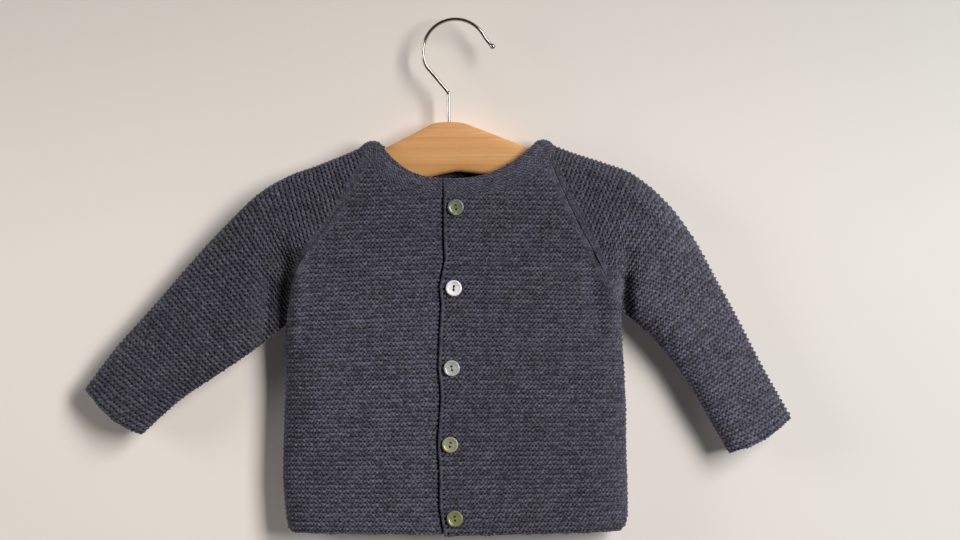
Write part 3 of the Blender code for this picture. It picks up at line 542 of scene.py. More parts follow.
def knitting_group():
    """Stitches of melange wool: their height, and their colour with painted shade in the valleys between
    stitches and painted light on their tops, a painted shade line along the raglan seam, paler fibres, and
    painted light that scales a piece's colour at the top and lower down."""
    tree, start, end = new_group(
        "knitted melange wool",
        [("Knit", "NodeSocketVector", None), ("Slant", "NodeSocketFloat", 0.2),
         ("Painted light", "NodeSocketFloat", 1.0), ("Nap below", "NodeSocketFloat", 1.0)],
        [("Colour", "NodeSocketColor"), ("Height", "NodeSocketFloat")])
    knit = start.outputs["Knit"]
    parts = tree.nodes.new("ShaderNodeSeparateXYZ")
    tree.links.new(knit, parts.inputs[0])
    u, v, e = parts.outputs

    across = maths(tree, "MULTIPLY", u, 2 * math.pi)
    down = maths(tree, "MULTIPLY_ADD", v, 2 * math.pi, -math.pi)
    slant = start.outputs["Slant"]
    waves = [(down, maths(tree, "SUBTRACT", GARTER_WAVE, slant)),
             (maths(tree, "ADD", across, down), slant),
             (maths(tree, "SUBTRACT", across, down), GARTER_CROSS),
             (maths(tree, "MULTIPLY", down, 2.0), GARTER_SECOND)]
    garter = 0.5
    for phase, share in waves:
        garter = maths(tree, "MULTIPLY_ADD", maths(tree, "COSINE", phase), share, garter)

    column = maths(tree, "SUBTRACT", maths(tree, "FRACT", maths(tree, "DIVIDE", e, STITCH)), 0.5)
    off_middle = maths(tree, "ABSOLUTE", column)
    rise = maths(tree, "MULTIPLY_ADD", off_middle, LEG_LEAN, maths(tree, "MULTIPLY", v, 2.0))
    wave = maths(tree, "COSINE", maths(tree, "MULTIPLY", rise, 2 * math.pi))
    leg = maths(tree, "MULTIPLY_ADD", wave, 0.17, 0.56)
    side = maths(tree, "POWER", maths(tree, "MULTIPLY", off_middle, 2.0), 4.0)
    plain = maths(tree, "MULTIPLY_ADD", side, -0.16, leg)
    beside = ranged(tree, e, PLAIN_WIDTH[1], PLAIN_WIDTH[0])
    height = maths(tree, "MULTIPLY_ADD", beside, maths(tree, "SUBTRACT", plain, garter), garter)
    fuzz = noise(tree, knit, (5.0, 7.0, 1.0), 3.0, 0.65)
    tree.links.new(maths(tree, "MULTIPLY_ADD", fuzz, 0.5, height), end.inputs["Height"])

    cell = tree.nodes.new("ShaderNodeCombineXYZ")
    tree.links.new(maths(tree, "FLOOR", maths(tree, "ADD", u, 0.5)), cell.inputs[0])
    tree.links.new(maths(tree, "FLOOR", v), cell.inputs[1])
    chance = tree.nodes.new("ShaderNodeTexWhiteNoise")
    chance.noise_dimensions = "2D"
    tree.links.new(cell.outputs[0], chance.inputs["Vector"])
    streak = noise(tree, knit, (0.13, 1.0, 0.0), 2.0, 0.6)
    fibre = maths(tree, "SUBTRACT", noise(tree, knit, (1.3, 2.6, 0.4), 3.0, 0.7), 0.5)
    pale = maths(tree, "MULTIPLY_ADD", chance.outputs["Value"], 0.36, maths(tree, "MULTIPLY", streak, 0.64))
    pale = ranged(tree, maths(tree, "MULTIPLY_ADD", fibre, 2.6, pale), 0.0, 1.0)
    yarn = mixed(tree, pale, DARK_YARN, PALE_YARN)
    patch = noise(tree, knit, (0.09, 0.12, 0.0), 3.0, 0.6, (7.3, 2.1, 0.0))
    tint = mixed(tree, ranged(tree, patch, 0.35, 0.65), (0.98, 0.99, 1.03, 1), (1.02, 1.01, 0.96, 1))
    yarn = mixed(tree, 1.0, yarn, tint, "MULTIPLY")

    # painted shade: a dark line along the raglan seam, broken up by the streaks
    from_seam = maths(tree, "MULTIPLY_ADD", streak, 2.0, maths(tree, "ABSOLUTE", e))
    seam = ranged(tree, from_seam, 0.9, 1.9, 0.5, 1.0)
    # painted shade in the valleys between stitches and painted light on their tops
    shade = maths(tree, "MULTIPLY", ranged(tree, height, 0.0, 1.0, 0.4, 1.28), seam)
    speck = ranged(tree, noise(tree, knit, (2.3, 3.9, 0.8), 1.0, 0.5), 0.5, 0.7)
    shade = maths(tree, "MULTIPLY", shade, maths(tree, "MULTIPLY_ADD", speck, 0.5, 0.9))
    # painted light: the colour is scaled from the top setting to the lower one between ridges 12 and 34
    change = maths(tree, "SUBTRACT", start.outputs["Nap below"], start.outputs["Painted light"])
    painted_light_setting = maths(tree, "MULTIPLY_ADD", ranged(tree, v, 12.0, 34.0), change, start.outputs["Painted light"])
    shade = maths(tree, "MULTIPLY", shade, painted_light_setting)
    tree.links.new(mixed(tree, 1.0, yarn, grey(tree, shade), "MULTIPLY"), end.inputs["Colour"])
    return tree


knitting = knitting_group()


def knit_material(name, slant, painted_light_setting):
    """The wool of one piece, with the lean of its stitches and its painted light: its colour scaled at the
    top and lower down.
    """
    material, tree, shader = new_material(name, {
        "Roughness": 0.92, "Specular IOR Level": 0.25, "Sheen Weight": 0.18, "Sheen Roughness": 0.45})
    place = tree.nodes.new("ShaderNodeAttribute")
    place.attribute_name = "knit"
    stitches = tree.nodes.new("ShaderNodeGroup")
    stitches.node_tree = knitting
    for label, value in (("Slant", slant), ("Painted light", painted_light_setting[0]), ("Nap below", painted_light_setting[1])):
        stitches.inputs[label].default_value = value
    tree.links.new(place.outputs["Vector"], stitches.inputs["Knit"])
    tree.links.new(stitches.outputs["Colour"], shader.inputs["Base Color"])
    add_bump(tree, shader, stitches.outputs["Height"], 0.55, 0.5)
    return material


def gather(fields, low, high, top=None):
    """The same grids with what lies past a row's two end columns, or above a column's top row, gathered
    at that end, where it is merged later."""
    rows, columns = fields[0].shape[:2]
    row, column = np.arange(rows)[:, None], np.arange(columns)[None]
    fields = [field[row, np.clip(column, low[:, None], high[:, None])] for field in fields]
    if top is not None:
        fields = [field[np.maximum(row, top[None]), column] for field in fields]
    return fields


def clip_to_neck(points, v, neck_z):
    """Move the row nearest the neck seam onto the seam in each column, and name that row."""
    column = np.arange(points.shape[1])
    gap = neck_z - points[..., 2]
    below = (gap >= 0).argmax(axis=0)
    upper = np.maximum(below - 1, 0)
    top = np.where(np.abs(gap[upper, column]) < np.abs(gap[below, column]), upper, below)
    shift = gap[top, column] * (top > 0)
    points[top, column, 2] += shift
    v[top, column] -= shift / RIDGE
    return top


def front_inner(side, rows):
    """Inner ends of a front's rows, on its front edge."""
    height = body_edge(side, rows)[0][:, 1] + np.interp(rows, (0, 10, 20), ROW_RISE[side])
    edge_x = front_edge_x(height) if side == "left" else np.full_like(height, UNDER_EDGE_X)
    return np.stack([edge_x, height], axis=-1)


def back_inner(side, rows):
    """Where the back's rows cross its middle."""
    ends, far = (body_edge(one, rows)[0] for one in (side, "left" if side == "right" else "right"))
    share = ends[:, 0] / (ends[:, 0] - far[:, 0])
    return ends + (far - ends) * share[:, None]


def body_knit(face, side, per_stitch, per_ridge, inset):
    """Base grid of a front, or of one half of the back from its middle, with each row's number."""
    ridge = np.linspace(0, BODY_RIDGES, int(round(BODY_RIDGES * per_ridge)) + 1)
    fine = np.linspace(0, 20, 801)
    if face == FRONT:
        inner_ends, row_ends = front_inner, (front_inner(side, fine), body_edge(side, fine)[0])
    else:
        inner_ends, row_ends = back_inner, (body_edge("left", fine)[0], body_edge("right", fine)[0])
    height = (row_ends[0][:, 1] + row_ends[1][:, 1]) / 2
    rows = np.interp(ridge / ridge[-1], (height[0] - height) / (height[0] - height[-1]), fine)
    inner = inner_ends(side, rows)
    ends, share, depth = body_edge(side, rows)
    u = np.sin(np.linspace(0, np.pi / 2, 240))
    flat = inner[:, None] + (ends - inner)[:, None] * u[None, :, None]
    x, z = flat[..., 0], flat[..., 1]
    push = under_push(face, side, x, z)
    dense = body_points(face, x, z, ends[:, :1], share[:, None], depth[:, None], inset, push)
    return spread(dense, STITCH / per_stitch), rows, ridge


def slipped_edge(distance, v):
    """How far the left front's slipped-stitch edge is laid back at a distance from it: it rounds off, a
    chain of beads stands on it, and a groove runs behind the chain."""
    chain = 0.5 + 0.5 * np.cos(2 * np.pi * (v + 0.3 * distance))
    bead, groove = (np.exp(-((distance - middle) / width) ** 2) for middle, width in ((1.0, 0.8), (2.5, 0.6)))
    return laid_back((distance, (0.5, 0.8))) - bead * (0.1 + 0.9 * chain) + 0.6 * groove


def make_front(side):
    """The two skins of a front. The left one has its slipped-stitch edge, and the right one is pressed
    flat where it lies behind the left one."""
    skins = []
    for inset, per_stitch, per_ridge in ((0.0, 4, 5), (WALL, 1, 1)):
        (points, distance, total, last), rows, ridge = body_knit(FRONT, side, per_stitch, per_ridge, inset)
        v = np.tile(ridge[:, None], (1, points.shape[1]))
        neck_z = neck_line(side, FRONT, points[..., 0])
        top = clip_to_neck(points, v, neck_z)
        outer = total[:, None] - distance
        # how far the painted shade line along the raglan seam and its groove are moved off the seam
        painted_light_setting = seam_line_offset(side, rows / 2)[:, None]
        e = outer + painted_light_setting + NO_SEAM * ease(*PLAIN_END[FRONT], rows)[:, None]
        to_hem = (BODY_RIDGES - v) * RIDGE
        u, v = uneven(distance / STITCH * (1 if side == "left" else -1), v)
        if not inset:
            to_neck = np.maximum(neck_z - points[..., 2], 0.0)
            calm = sewn_calm(outer, to_neck)
            roll = laid_back((outer + painted_light_setting, SEAM_ROLL), (to_hem, HEM_ROLL), (to_neck, NECK_ROLL))
            if side == "left":
                roll += slipped_edge(distance, v)
                e = np.where(distance < 2.0, distance + 1.0, e)
                calm = np.maximum(calm, 0.8 * (1 - ease(1.4, 2.4, distance)))
            else:
                calm = np.maximum(calm, ease(-12.0, -6.0, points[..., 0]))
            points = dress(points, u, v, e, FRONT_SLANT[side], (0.0, -1.0, 0.0), calm, roll, to_hem)
        knit = np.stack([u, v, e], axis=-1)
        skins.append(gather((points, knit), np.zeros_like(last), last, top))
    return knit_cloth("knitted_front_" + side, FRONT_SLANT[side], FRONT_PAINTED_LIGHT[side], skins)


left_front = make_front("left")
right_front = make_front("right")
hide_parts("front_left")
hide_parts("front_right")


# ---------------------------------------------------------------- back
# One piece of the same garter stitch, without an opening. It has the same plain columns along its two
# raglan seams and a shallower neckline, and its hem hangs a little higher than the fronts'.

BACK_SLANT, BACK_PAINTED_LIGHT = 0.2, (1.0, 1.0)


def join_halves(right, left):
    """One grid from two halves that share their first column, the right one turned round and its
    distances negative. Each half is points, distance, length and end column, and so is the grid, which
    has two end columns."""
    reach = right[0].shape[1] - 1
    points = np.concatenate([right[0][:, :0:-1], left[0]], axis=1)
    distance = np.concatenate([-right[1][:, :0:-1], left[1]], axis=1)
    length = np.concatenate([np.tile(right[2][:, None], (1, reach)),
                             np.tile(left[2][:, None], (1, left[0].shape[1]))], axis=1)
    return points, distance, length, reach - right[3], reach + left[3]


def make_back():
    skins = []
    for inset, per_stitch, per_ridge in ((0.0, 3, 5), (WALL, 1, 1)):
        right, rows, ridge = body_knit(BACK, "right", per_stitch, per_ridge, inset)
        left = body_knit(BACK, "left", per_stitch, per_ridge, inset)[0]
        points, distance, total, low, high = join_halves(right, left)
        v = np.tile(ridge[:, None], (1, points.shape[1]))
        x = points[..., 0]
        neck_z = np.where(x < 0, neck_line("right", BACK, x), neck_line("left", BACK, x))
        top = clip_to_neck(points, v, neck_z)
        outer = total - np.abs(distance)
        e = outer + NO_SEAM * ease(*PLAIN_END[BACK], rows)[:, None]
        to_hem = (BODY_RIDGES - v) * RIDGE
        u, v = uneven(-distance / STITCH, v)
        if not inset:
            to_neck = np.maximum(neck_z - points[..., 2], 0.0)
            calm = sewn_calm(outer, to_neck)
            roll = laid_back((outer, SEAM_ROLL), (to_hem, HEM_ROLL), (to_neck, NECK_ROLL))
            points = dress(points, u, v, e, BACK_SLANT, (0.0, 1.0, 0.0), calm, roll, to_hem)
        knit = np.stack([u, v, e], axis=-1)
        skins.append(gather((points, knit), low, high, top))
    return knit_cloth("knitted_back", BACK_SLANT, BACK_PAINTED_LIGHT, skins)


back = make_back()
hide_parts("back")


# ---------------------------------------------------------------- sleeves
# Each sleeve is knitted across its width in garter stitch and closed into a tube under the arm. It is
# sewn to the fronts and the back along the raglan seams, and folds flat along its top.

SLEEVE_SLANT = 0.16
# painted light: the right sleeve's colour is darkened all along, the left one's darkened a little at the top
# and lightened towards the cuff
SLEEVE_PAINTED_LIGHT = {"right": (0.87, 0.88), "left": (0.90, 1.33)}
SLEEVE_STITCH = {"right": 2.95, "left": 2.84}
SLEEVE_PLAIN_END = (3.95, 4.55)      # rows of the sleeve over which the plain columns end
CUFF_BOW = 3.5           # how far the cuff bows out in its middle
TOP_FLAT, TOP_FLAT_ROWS = 0.6, (3.6, 6.6)    # the forearm is pressed flatter by this share along its top
FOLD_CALM = {"right": 0.65, "left": 0.3}     # how far the stitches lie flat along the top fold
FOLD_REACH = (2.0, 8.0)
SLEEVE_NECK_CALM = 1.5
ACROSS_SHARES = (1 - np.cos(np.linspace(0, np.pi, 220))) / 2     # places from the top fold to the lower end
SLEEVE_FOLDS = {         # x, z from and to, how wide and how deep
    FRONT: [
        (-119.8, -170.0, -121.4, -214.0, 10.5, 12.0), (-131.0, -182.0, -133.0, -218.0, 8.0, 6.0),
        (118.8, -183.0, 117.0, -203.0, 5.2, 5.5), (121.5, -166.0, 117.8, -203.0, 6.5, 3.4),
        (-150.0, -205.0, -176.0, -183.0, 7.0, 0.9), (-166.0, -222.0, -193.0, -197.0, 7.0, 0.8),
        (-190.0, -240.0, -222.0, -214.0, 8.0, 0.7), (-132.0, -140.0, -146.0, -166.0, 9.0, -0.7),
        (-108.0, -128.0, -128.0, -148.0, 9.0, 0.7), (-206.0, -258.0, -236.0, -236.0, 8.0, -0.6),
        (134.0, -190.0, 158.0, -182.0, 7.0, 0.8), (146.0, -214.0, 172.0, -196.0, 7.0, -0.6),
        (164.0, -240.0, 192.0, -222.0, 8.0, 0.8), (178.0, -268.0, 206.0, -254.0, 8.0, -0.6),
        (108.0, -122.0, 128.0, -140.0, 9.0, 0.7), (88.0, -108.0, 92.0, -124.0, 8.0, 1.0),
    ],
    BACK: [
        (-126.0, -165.0, -128.0, -205.0, 8.0, 3.0), (124.0, -160.0, 123.0, -196.0, 7.0, 3.0),
        (-160.0, -212.0, -186.0, -190.0, 8.0, 0.8), (-196.0, -244.0, -226.0, -220.0, 8.0, 0.7),
        (150.0, -214.0, 176.0, -200.0, 8.0, 0.8), (172.0, -256.0, 200.0, -240.0, 8.0, 0.7),
    ],
}


def sleeve_half(side, face, t, inset):
    """Dense points of the rows t from the top fold to the lower end, on one face."""
    top, low, depth, top_round, low_round = (field[:, None] for field in sleeve_rows(side, t))
    along = (low - top) / np.linalg.norm(low - top, axis=-1, keepdims=True)
    open_share = raglan_share(t)[:, None]
    start = top + along * inset
    end = low - along * (inset * (1.0 - open_share))[..., None]
    run = np.linalg.norm(end - start, axis=-1)
    share = ACROSS_SHARES[None]
    onward = np.stack([along[..., 1], -along[..., 0]], axis=-1) * (1.0 if side == "right" else -1.0)
    bow = CUFF_BOW * np.maximum(0.0, t - CUFF_ROW + 1)[:, None] ** 2 * np.sin(np.pi * share)
    flat = start + (end - start) * share[..., None] + onward * bow[..., None]
    full = depth * SLEEVE_SHARE[face] - inset
    seam_depth = full * open_share
    crown = seam_depth + (full - seam_depth) * round_off((1 - share) * run / (low_round - inset))
    lean = 1.0 - TOP_FLAT * ease(*TOP_FLAT_ROWS, t)[:, None] * (1.0 - share)
    deep = crown * round_off(share * run / (top_round - inset)) * lean
    deep = sink(SLEEVE_FOLDS[face], flat[..., 0], flat[..., 1], deep, 1.0 if inset else FOLD_LIMIT)
    return np.stack([flat[..., 0], face * deep, flat[..., 1]], axis=-1)


def make_sleeve(side):
    fine = np.linspace(0, CUFF_ROW, 901)
    top, low = sleeve_rows(side, fine)[:2]
    travel = np.concatenate([[0.0], np.cumsum(np.linalg.norm(np.diff((top + low) / 2, axis=0), axis=1))])
    ridges = round(travel[-1] / RIDGE) + 0.55
    skins = []
    for inset, per_stitch, per_ridge in ((0.0, 4, 5), (WALL, 1, 1)):
        ridge = np.linspace(0, ridges, int(round(ridges * per_ridge)) + 1)
        t = np.interp(ridge / ridges, travel / travel[-1], fine)
        rear, front = (spread(sleeve_half(side, face, t, inset), STITCH / per_stitch)
                       for face in (BACK, FRONT))
        points, distance, total, low_end, high_end = join_halves(rear, front)
        v = np.tile(ridge[:, None], (1, points.shape[1]))
        outer = total - np.abs(distance)
        # how far the painted shade line along the raglan seam and its groove are moved off the seam
        painted_light_setting = seam_line_offset(side, t)[:, None]
        e = outer + painted_light_setting + NO_SEAM * ease(*SLEEVE_PLAIN_END, t)[:, None]
        to_cuff, to_neck = (ridges - v) * RIDGE, v * RIDGE
        u, v = uneven(distance / SLEEVE_STITCH[side] * (1 if side == "right" else -1), v)
        if not inset:
            calm = sewn_calm(outer, to_neck, SLEEVE_NECK_CALM)
            calm = np.maximum(calm, FOLD_CALM[side] * (1.0 - ease(*FOLD_REACH, np.abs(distance))))
            roll = laid_back((outer + painted_light_setting, SEAM_ROLL), (to_cuff, HEM_ROLL), (to_neck, NECK_ROLL))
            outward = points - points.mean(axis=1, keepdims=True)
            points = dress(points, u, v, e, SLEEVE_SLANT, outward, calm, roll, to_cuff)
        closed = np.flatnonzero(t > UNDERARM_ROW)
        seam = (points[closed, low_end[closed]] + points[closed, high_end[closed]]) / 2
        points[closed, low_end[closed]] = points[closed, high_end[closed]] = seam
        knit = np.stack([u, v, e], axis=-1)
        skins.append(gather((points, knit), low_end, high_end))
    return knit_cloth("knitted_sleeve_" + side, SLEEVE_SLANT, SLEEVE_PAINTED_LIGHT[side], skins)


for side in ("right", "left"):
    sleeve = make_sleeve(side)
    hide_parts("sleeve_" + side)


# ---------------------------------------------------------------- neckband
# A narrow band picked up round the neck and knitted in a finer garter stitch, whose ridges run along it.
# Its top is turned to a soft round rim, and it ends at the two front edges.

RIM_Z = {FRONT: -112.0, BACK: -99.6}
RIM_REACH = {"right": -53.8, "left": 57.5}
RIM_TOP_Z = {"right": -86.2, "left": -85.4}
RIM_BULGE, RIM_DEPTH, RIM_CREST = 3.6, 8.4, 1.15
TOP_CORNER_X = -8.4
BAND_CROWN, SHOULDER_CROWN, RIM_LIFT = 0.5, 1.7, 1.8
SEAM_GAP = -1.4          # the band starts a little below the edge that it is knitted on to
BAND_STITCH, BAND_RIDGE = 2.45, 2.2
BAND_SLANT, BAND_PAINTED_LIGHT = 0.24, (1.0, 1.0)
BAND_CALM, CALM_COLUMN = 0.42, 20    # how flat its stitches lie, and where they end inside the rim
BAND_SEAM_ROLL, BAND_END_ROLL = (0.4, 1.2), (0.9, 1.5)


def flat_station(side, face, seam_x, rim_x):
    """The band's seam and rim at one place on the front or the back: outside, inside, and its crown."""
    reach, sleeve_depth = SLEEVE_ROWS[side][0][2], SLEEVE_ROWS[side][0][4] * SLEEVE_SHARE[face]
    seam_z = float(neck_line(side, face, np.array(seam_x)))
    turn_up = min(abs(rim_x / RIM_REACH[side]), 1.0) ** NECK_POWERS[face][side][1]
    rim_z = RIM_Z[face] + (RIM_TOP_Z[side] - RIM_Z[face]) * turn_up
    push = float(under_push(face, side, seam_x, seam_z))
    full = body_depth(face, seam_z)
    seam_y, rim_y = (edge + (full - edge) * float(round_off(abs(x - end) / SIDE_ROUND)) - push
                     for edge, x, end in ((sleeve_depth, seam_x, reach), (RIM_DEPTH, rim_x, RIM_REACH[side])))
    return [(seam_x, face * seam_y, seam_z), (seam_x, face * (seam_y - WALL), seam_z),
            (rim_x, face * rim_y, rim_z), (rim_x, face * (rim_y - WALL), rim_z),
            (0.0, face * BAND_CROWN, 0.0)]


def shoulder_station(side, face, share):
    """The same over the shoulder, from the raglan seam (share 1) to the fold of the sleeve (0)."""
    outward = -1.0 if side == "right" else 1.0
    turn = share * math.pi / 2
    seams, rims = [], []
    for inset in (0.0, WALL):
        dense = sleeve_half(side, face, np.zeros(1), inset)[0]
        seams.append([float(np.interp(share, ACROSS_SHARES, dense[:, k])) for k in range(3)])
        rims.append((RIM_REACH[side] + outward * RIM_BULGE * math.cos(turn),
                     face * (RIM_DEPTH - inset) * math.sin(turn),
                     RIM_TOP_Z[side] + (RIM_LIFT - inset) * math.cos(turn)))
    return seams + rims + [(0.0, face * BAND_CROWN * math.sin(turn), SHOULDER_CROWN * math.cos(turn))]


def flat_run(side, face, seam_ends, rim_ends, count=48):
    """Stations along the front or the back, up to the last one before the end."""
    return [flat_station(side, face, seam_ends[0] + (seam_ends[1] - seam_ends[0]) * share,
                         rim_ends[0] + (rim_ends[1] - rim_ends[0]) * share)
            for share in np.arange(count) / count]


def shoulder_run(side, first_face, count=24):
    """Stations over a shoulder, from the one face to the other."""
    return [shoulder_station(side, first_face if share > 0 else -first_face, abs(share))
            for share in 1.0 - 2.0 * np.arange(count) / count]


def band_stations():
    """All the way round, from the left front's edge over both shoulders to the right front's edge."""
    left, right = SLEEVE_ROWS["left"][0][2], SLEEVE_ROWS["right"][0][2]
    left_rim, right_rim = RIM_REACH["left"], RIM_REACH["right"]
    stations = [
        *flat_run("left", FRONT, (CENTRE_EDGE_ROWS[0][0], left), (TOP_CORNER_X, left_rim)),
        *shoulder_run("left", FRONT),
        *flat_run("left", BACK, (left, 0.0), (left_rim, 0.0)),
        *flat_run("right", BACK, (0.0, right), (0.0, right_rim)),
        *shoulder_run("right", BACK),
        *flat_run("right", FRONT, (right, UNDER_EDGE_X), (right_rim, UNDER_EDGE_X)),
        flat_station("right", FRONT, UNDER_EDGE_X, UNDER_EDGE_X),
    ]
    return np.array(stations, float)


def make_neckband():
    stations = band_stations()
    middle = stations[:, [0, 2]].mean(axis=1)
    run = np.concatenate([[0.0], np.cumsum(np.linalg.norm(np.diff(middle, axis=0), axis=1))])
    at = np.linspace(0, run[-1], int(run[-1] / (STITCH / 5)))
    seam_out, seam_in, rim_out, rim_in, crown = (
        np.stack([np.interp(at, run, stations[:, part, k]) for k in range(3)], axis=-1)[:, None]
        for part in range(5))
    up = rim_out - seam_out
    up /= np.linalg.norm(up, axis=-1, keepdims=True)
    seam_out, seam_in = seam_out + up * SEAM_GAP, seam_in + up * SEAM_GAP
    rise = np.linspace(0, 1, 15)[None, :, None]
    outside = seam_out + (rim_out - seam_out) * rise + 4 * crown * rise * (1 - rise)
    turn = np.linspace(0, np.pi, 9)[None, 1:, None]
    rim = (rim_out + rim_in) / 2 + (rim_out - rim_in) / 2 * np.cos(turn) + up * RIM_CREST * np.sin(turn)
    fall = np.linspace(0, 1, 6)[None, 1:, None]
    inside = rim_in + (seam_in - rim_in) * fall
    points = np.concatenate([outside, rim, inside], axis=1)
    across = np.concatenate([np.zeros((len(points), 1)),
                             np.cumsum(np.linalg.norm(np.diff(points, axis=1), axis=2), axis=1)], axis=1)
    s = np.tile(at[:, None], (1, points.shape[1]))
    u, v = uneven(s / BAND_STITCH, across / BAND_RIDGE)
    e = np.full_like(u, NO_SEAM)
    calm_from = across[:, [CALM_COLUMN]]
    calm = np.maximum(BAND_CALM, ease(calm_from - 1.0, calm_from + 1.0, across))
    roll = laid_back((across, BAND_SEAM_ROLL), (np.minimum(s, run[-1] - s), BAND_END_ROLL))
    outward = points - points.mean(axis=1, keepdims=True)
    points = dress(points, u, v, e, BAND_SLANT, outward, calm, roll)
    knit = np.stack([u, v, e], axis=-1)
    points, knit = (np.concatenate([field, field[:, :1]], axis=1) for field in (points, knit))
    return knit_cloth("knitted_neckband", BAND_SLANT, BAND_PAINTED_LIGHT, [(points, knit)])


neckband = make_neckband()
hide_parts("neckband")


# ---------------------------------------------------------------- buttons
# Five round buttons turned from river shell, each cut from a piece of its own colour. The face is dished
# inside a raised rim. Yarn crosses between the two holes, and near-black yarn fills each hole and runs down
# into the left front: painted shade for the dark inside of the holes. Button 2's crossing is of the
# near-black yarn too.

BUTTON_PROFILE = [       # radius and height over the cloth side, from the back to the dished centre
    (3.6, 0.0), (5.1, 0.35), (5.6, 1.0), (5.25, 1.75), (4.5, 1.95), (3.7, 1.6), (2.2, 1.3), (0.0, 1.2),
]
BUTTON_CENTRES = [       # x, z and the turn of the two holes from upright, in degrees
    (0.4, -130.9, -8), (-1.0, -187.1, 6), (-2.4, -242.7, -10), (-3.5, -295.8, 12), (-0.3, -347.0, -6),
]
HOLE_RADIUS, HOLE_PITCH = 0.85, 2.6
# On buttons 1, 3 and 5 the pale accent low on the face is a painted highlight; on button 4 it is the shell's
# orange.
BUTTON_SHELLS = [        # main, second and accent colour, and where the accent lies on the face (mm)
    ((0.20, 0.22, 0.125, 1), (0.14, 0.18, 0.15, 1), (0.50, 0.52, 0.34, 1), (0.0, 0.0, -6.5)),
    ((0.90, 0.90, 0.89, 1), (0.94, 0.93, 0.95, 1), (0.72, 0.74, 0.70, 1), (1.0, 0.0, 3.5)),
    ((0.38, 0.42, 0.39, 1), (0.50, 0.52, 0.50, 1), (0.80, 0.74, 0.71, 1), (-4.6, 0.0, -4.6)),
    ((0.28, 0.31, 0.17, 1), (0.37, 0.36, 0.26, 1), (0.52, 0.28, 0.11, 1), (-4.0, 0.0, -4.0)),
    ((0.18, 0.22, 0.065, 1), (0.25, 0.26, 0.13, 1), (0.50, 0.52, 0.32, 1), (-3.6, 0.0, -5.6)),
]
BUTTON_GAP = 0.3         # between the cloth and a button
TO_MM = (1000, 1000, 1000)
YARN_RADIUS = 0.21
SEWING_YARN = ((0.20, 0.19, 0.13, 1), (0.34, 0.32, 0.24, 1))
# near-black yarn: painted shade where it fills the holes, and the crossing yarn on button 2
DARK_YARN_AND_HOLE_SHADE = ((0.006, 0.006, 0.007, 1), (0.02, 0.019, 0.022, 1))
CROSSING = [(0.0, -1.0, 0.75), (0.0, -0.6, 1.30), (0.0, 0.6, 1.30), (0.0, 1.0, 0.75)]
HOLE_HEIGHTS = (-1.2, 0.0, 0.55)     # of the near-black yarn that fills a hole: a plug of painted shade
HOLE_YARN, THICK_YARN = 3.8, 1.6     # how much thicker than one strand the painted-shade plug in a hole is, and the yarn on button 2
THICK_YARN_BUTTON = 2


def shell_group():
    """Polished shell: clouds of two colours, growth lines, and a patch of a third colour, which on some
    buttons is a painted highlight.
    """
    tree, start, end = new_group(
        "polished shell",
        [("Place", "NodeSocketVector", None), ("Main", "NodeSocketColor", (0.4, 0.4, 0.3, 1)),
         ("Second", "NodeSocketColor", (0.3, 0.3, 0.3, 1)), ("Accent", "NodeSocketColor", (0.4, 0.3, 0.2, 1)),
         ("Accent place", "NodeSocketVector", None)],
        [("Colour", "NodeSocketColor")])
    place = start.outputs["Place"]
    cloud = noise(tree, place, (0.28, 0.28, 0.42), 3.0, 0.6)
    line = noise(tree, place, (0.5, 0.5, 2.2), 4.0, 0.6)
    colour = mixed(tree, ranged(tree, cloud, 0.38, 0.62), start.outputs["Main"], start.outputs["Second"])
    away = tree.nodes.new("ShaderNodeVectorMath")
    away.operation = "DISTANCE"
    tree.links.new(place, away.inputs[0])
    tree.links.new(start.outputs["Accent place"], away.inputs[1])
    near = maths(tree, "ADD", away.outputs["Value"], maths(tree, "MULTIPLY", line, 3.0))
    colour = mixed(tree, ranged(tree, near, 5.2, 3.4, 0.0, 0.9), colour, start.outputs["Accent"])
    growth = grey(tree, ranged(tree, line, 0.3, 0.7, 0.82, 1.14))
    tree.links.new(mixed(tree, 1.0, colour, growth, "MULTIPLY"), end.inputs["Colour"])
    return tree


shell_nacre = shell_group()


def shell_material(number, centre, colours):
    material, tree, shader = new_material("shell_%d" % number, {
        "Roughness": 0.3, "Specular IOR Level": 0.6, "Coat Weight": 0.5, "Coat Roughness": 0.12})
    place = tree.nodes.new("ShaderNodeTexCoord").outputs["Object"]
    pattern = tree.nodes.new("ShaderNodeGroup")
    pattern.node_tree = shell_nacre
    tree.links.new(scaled(tree, place, TO_MM, [-c for c in centre]), pattern.inputs["Place"])
    for label, value in zip(("Main", "Second", "Accent", "Accent place"), colours):
        pattern.inputs[label].default_value = value
    tree.links.new(pattern.outputs["Colour"], shader.inputs["Base Color"])
    return material


def new_piece(name, mesh, material):
    mesh.materials.clear()
    mesh.materials.append(material)
    mesh.shade_smooth()
    piece = new_object(name, mesh)
    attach(piece, "root")
    return piece


def turned_disc():
    t = np.linspace(0, len(BUTTON_PROFILE) - 1, 36)
    radius, height = (smooth([row[k] for row in BUTTON_PROFILE], t) for k in (0, 1))
    bm = bmesh.new()
    chain = [bm.verts.new((0.0, 0.0, 0.0))]
    chain += [bm.verts.new((max(r, 0.0) * MM, 0.0, h * MM)) for r, h in zip(radius, height)]
    edges = [bm.edges.new(pair) for pair in zip(chain, chain[1:])]
    bmesh.ops.spin(bm, geom=chain + edges, cent=(0, 0, 0), axis=(0, 0, 1), angle=math.tau, steps=64,
                   use_merge=True)
    bmesh.ops.remove_doubles(bm, verts=bm.verts, dist=0.00001)
    bmesh.ops.recalc_face_normals(bm, faces=bm.faces)
    return mesh_from("button_blank", bm)


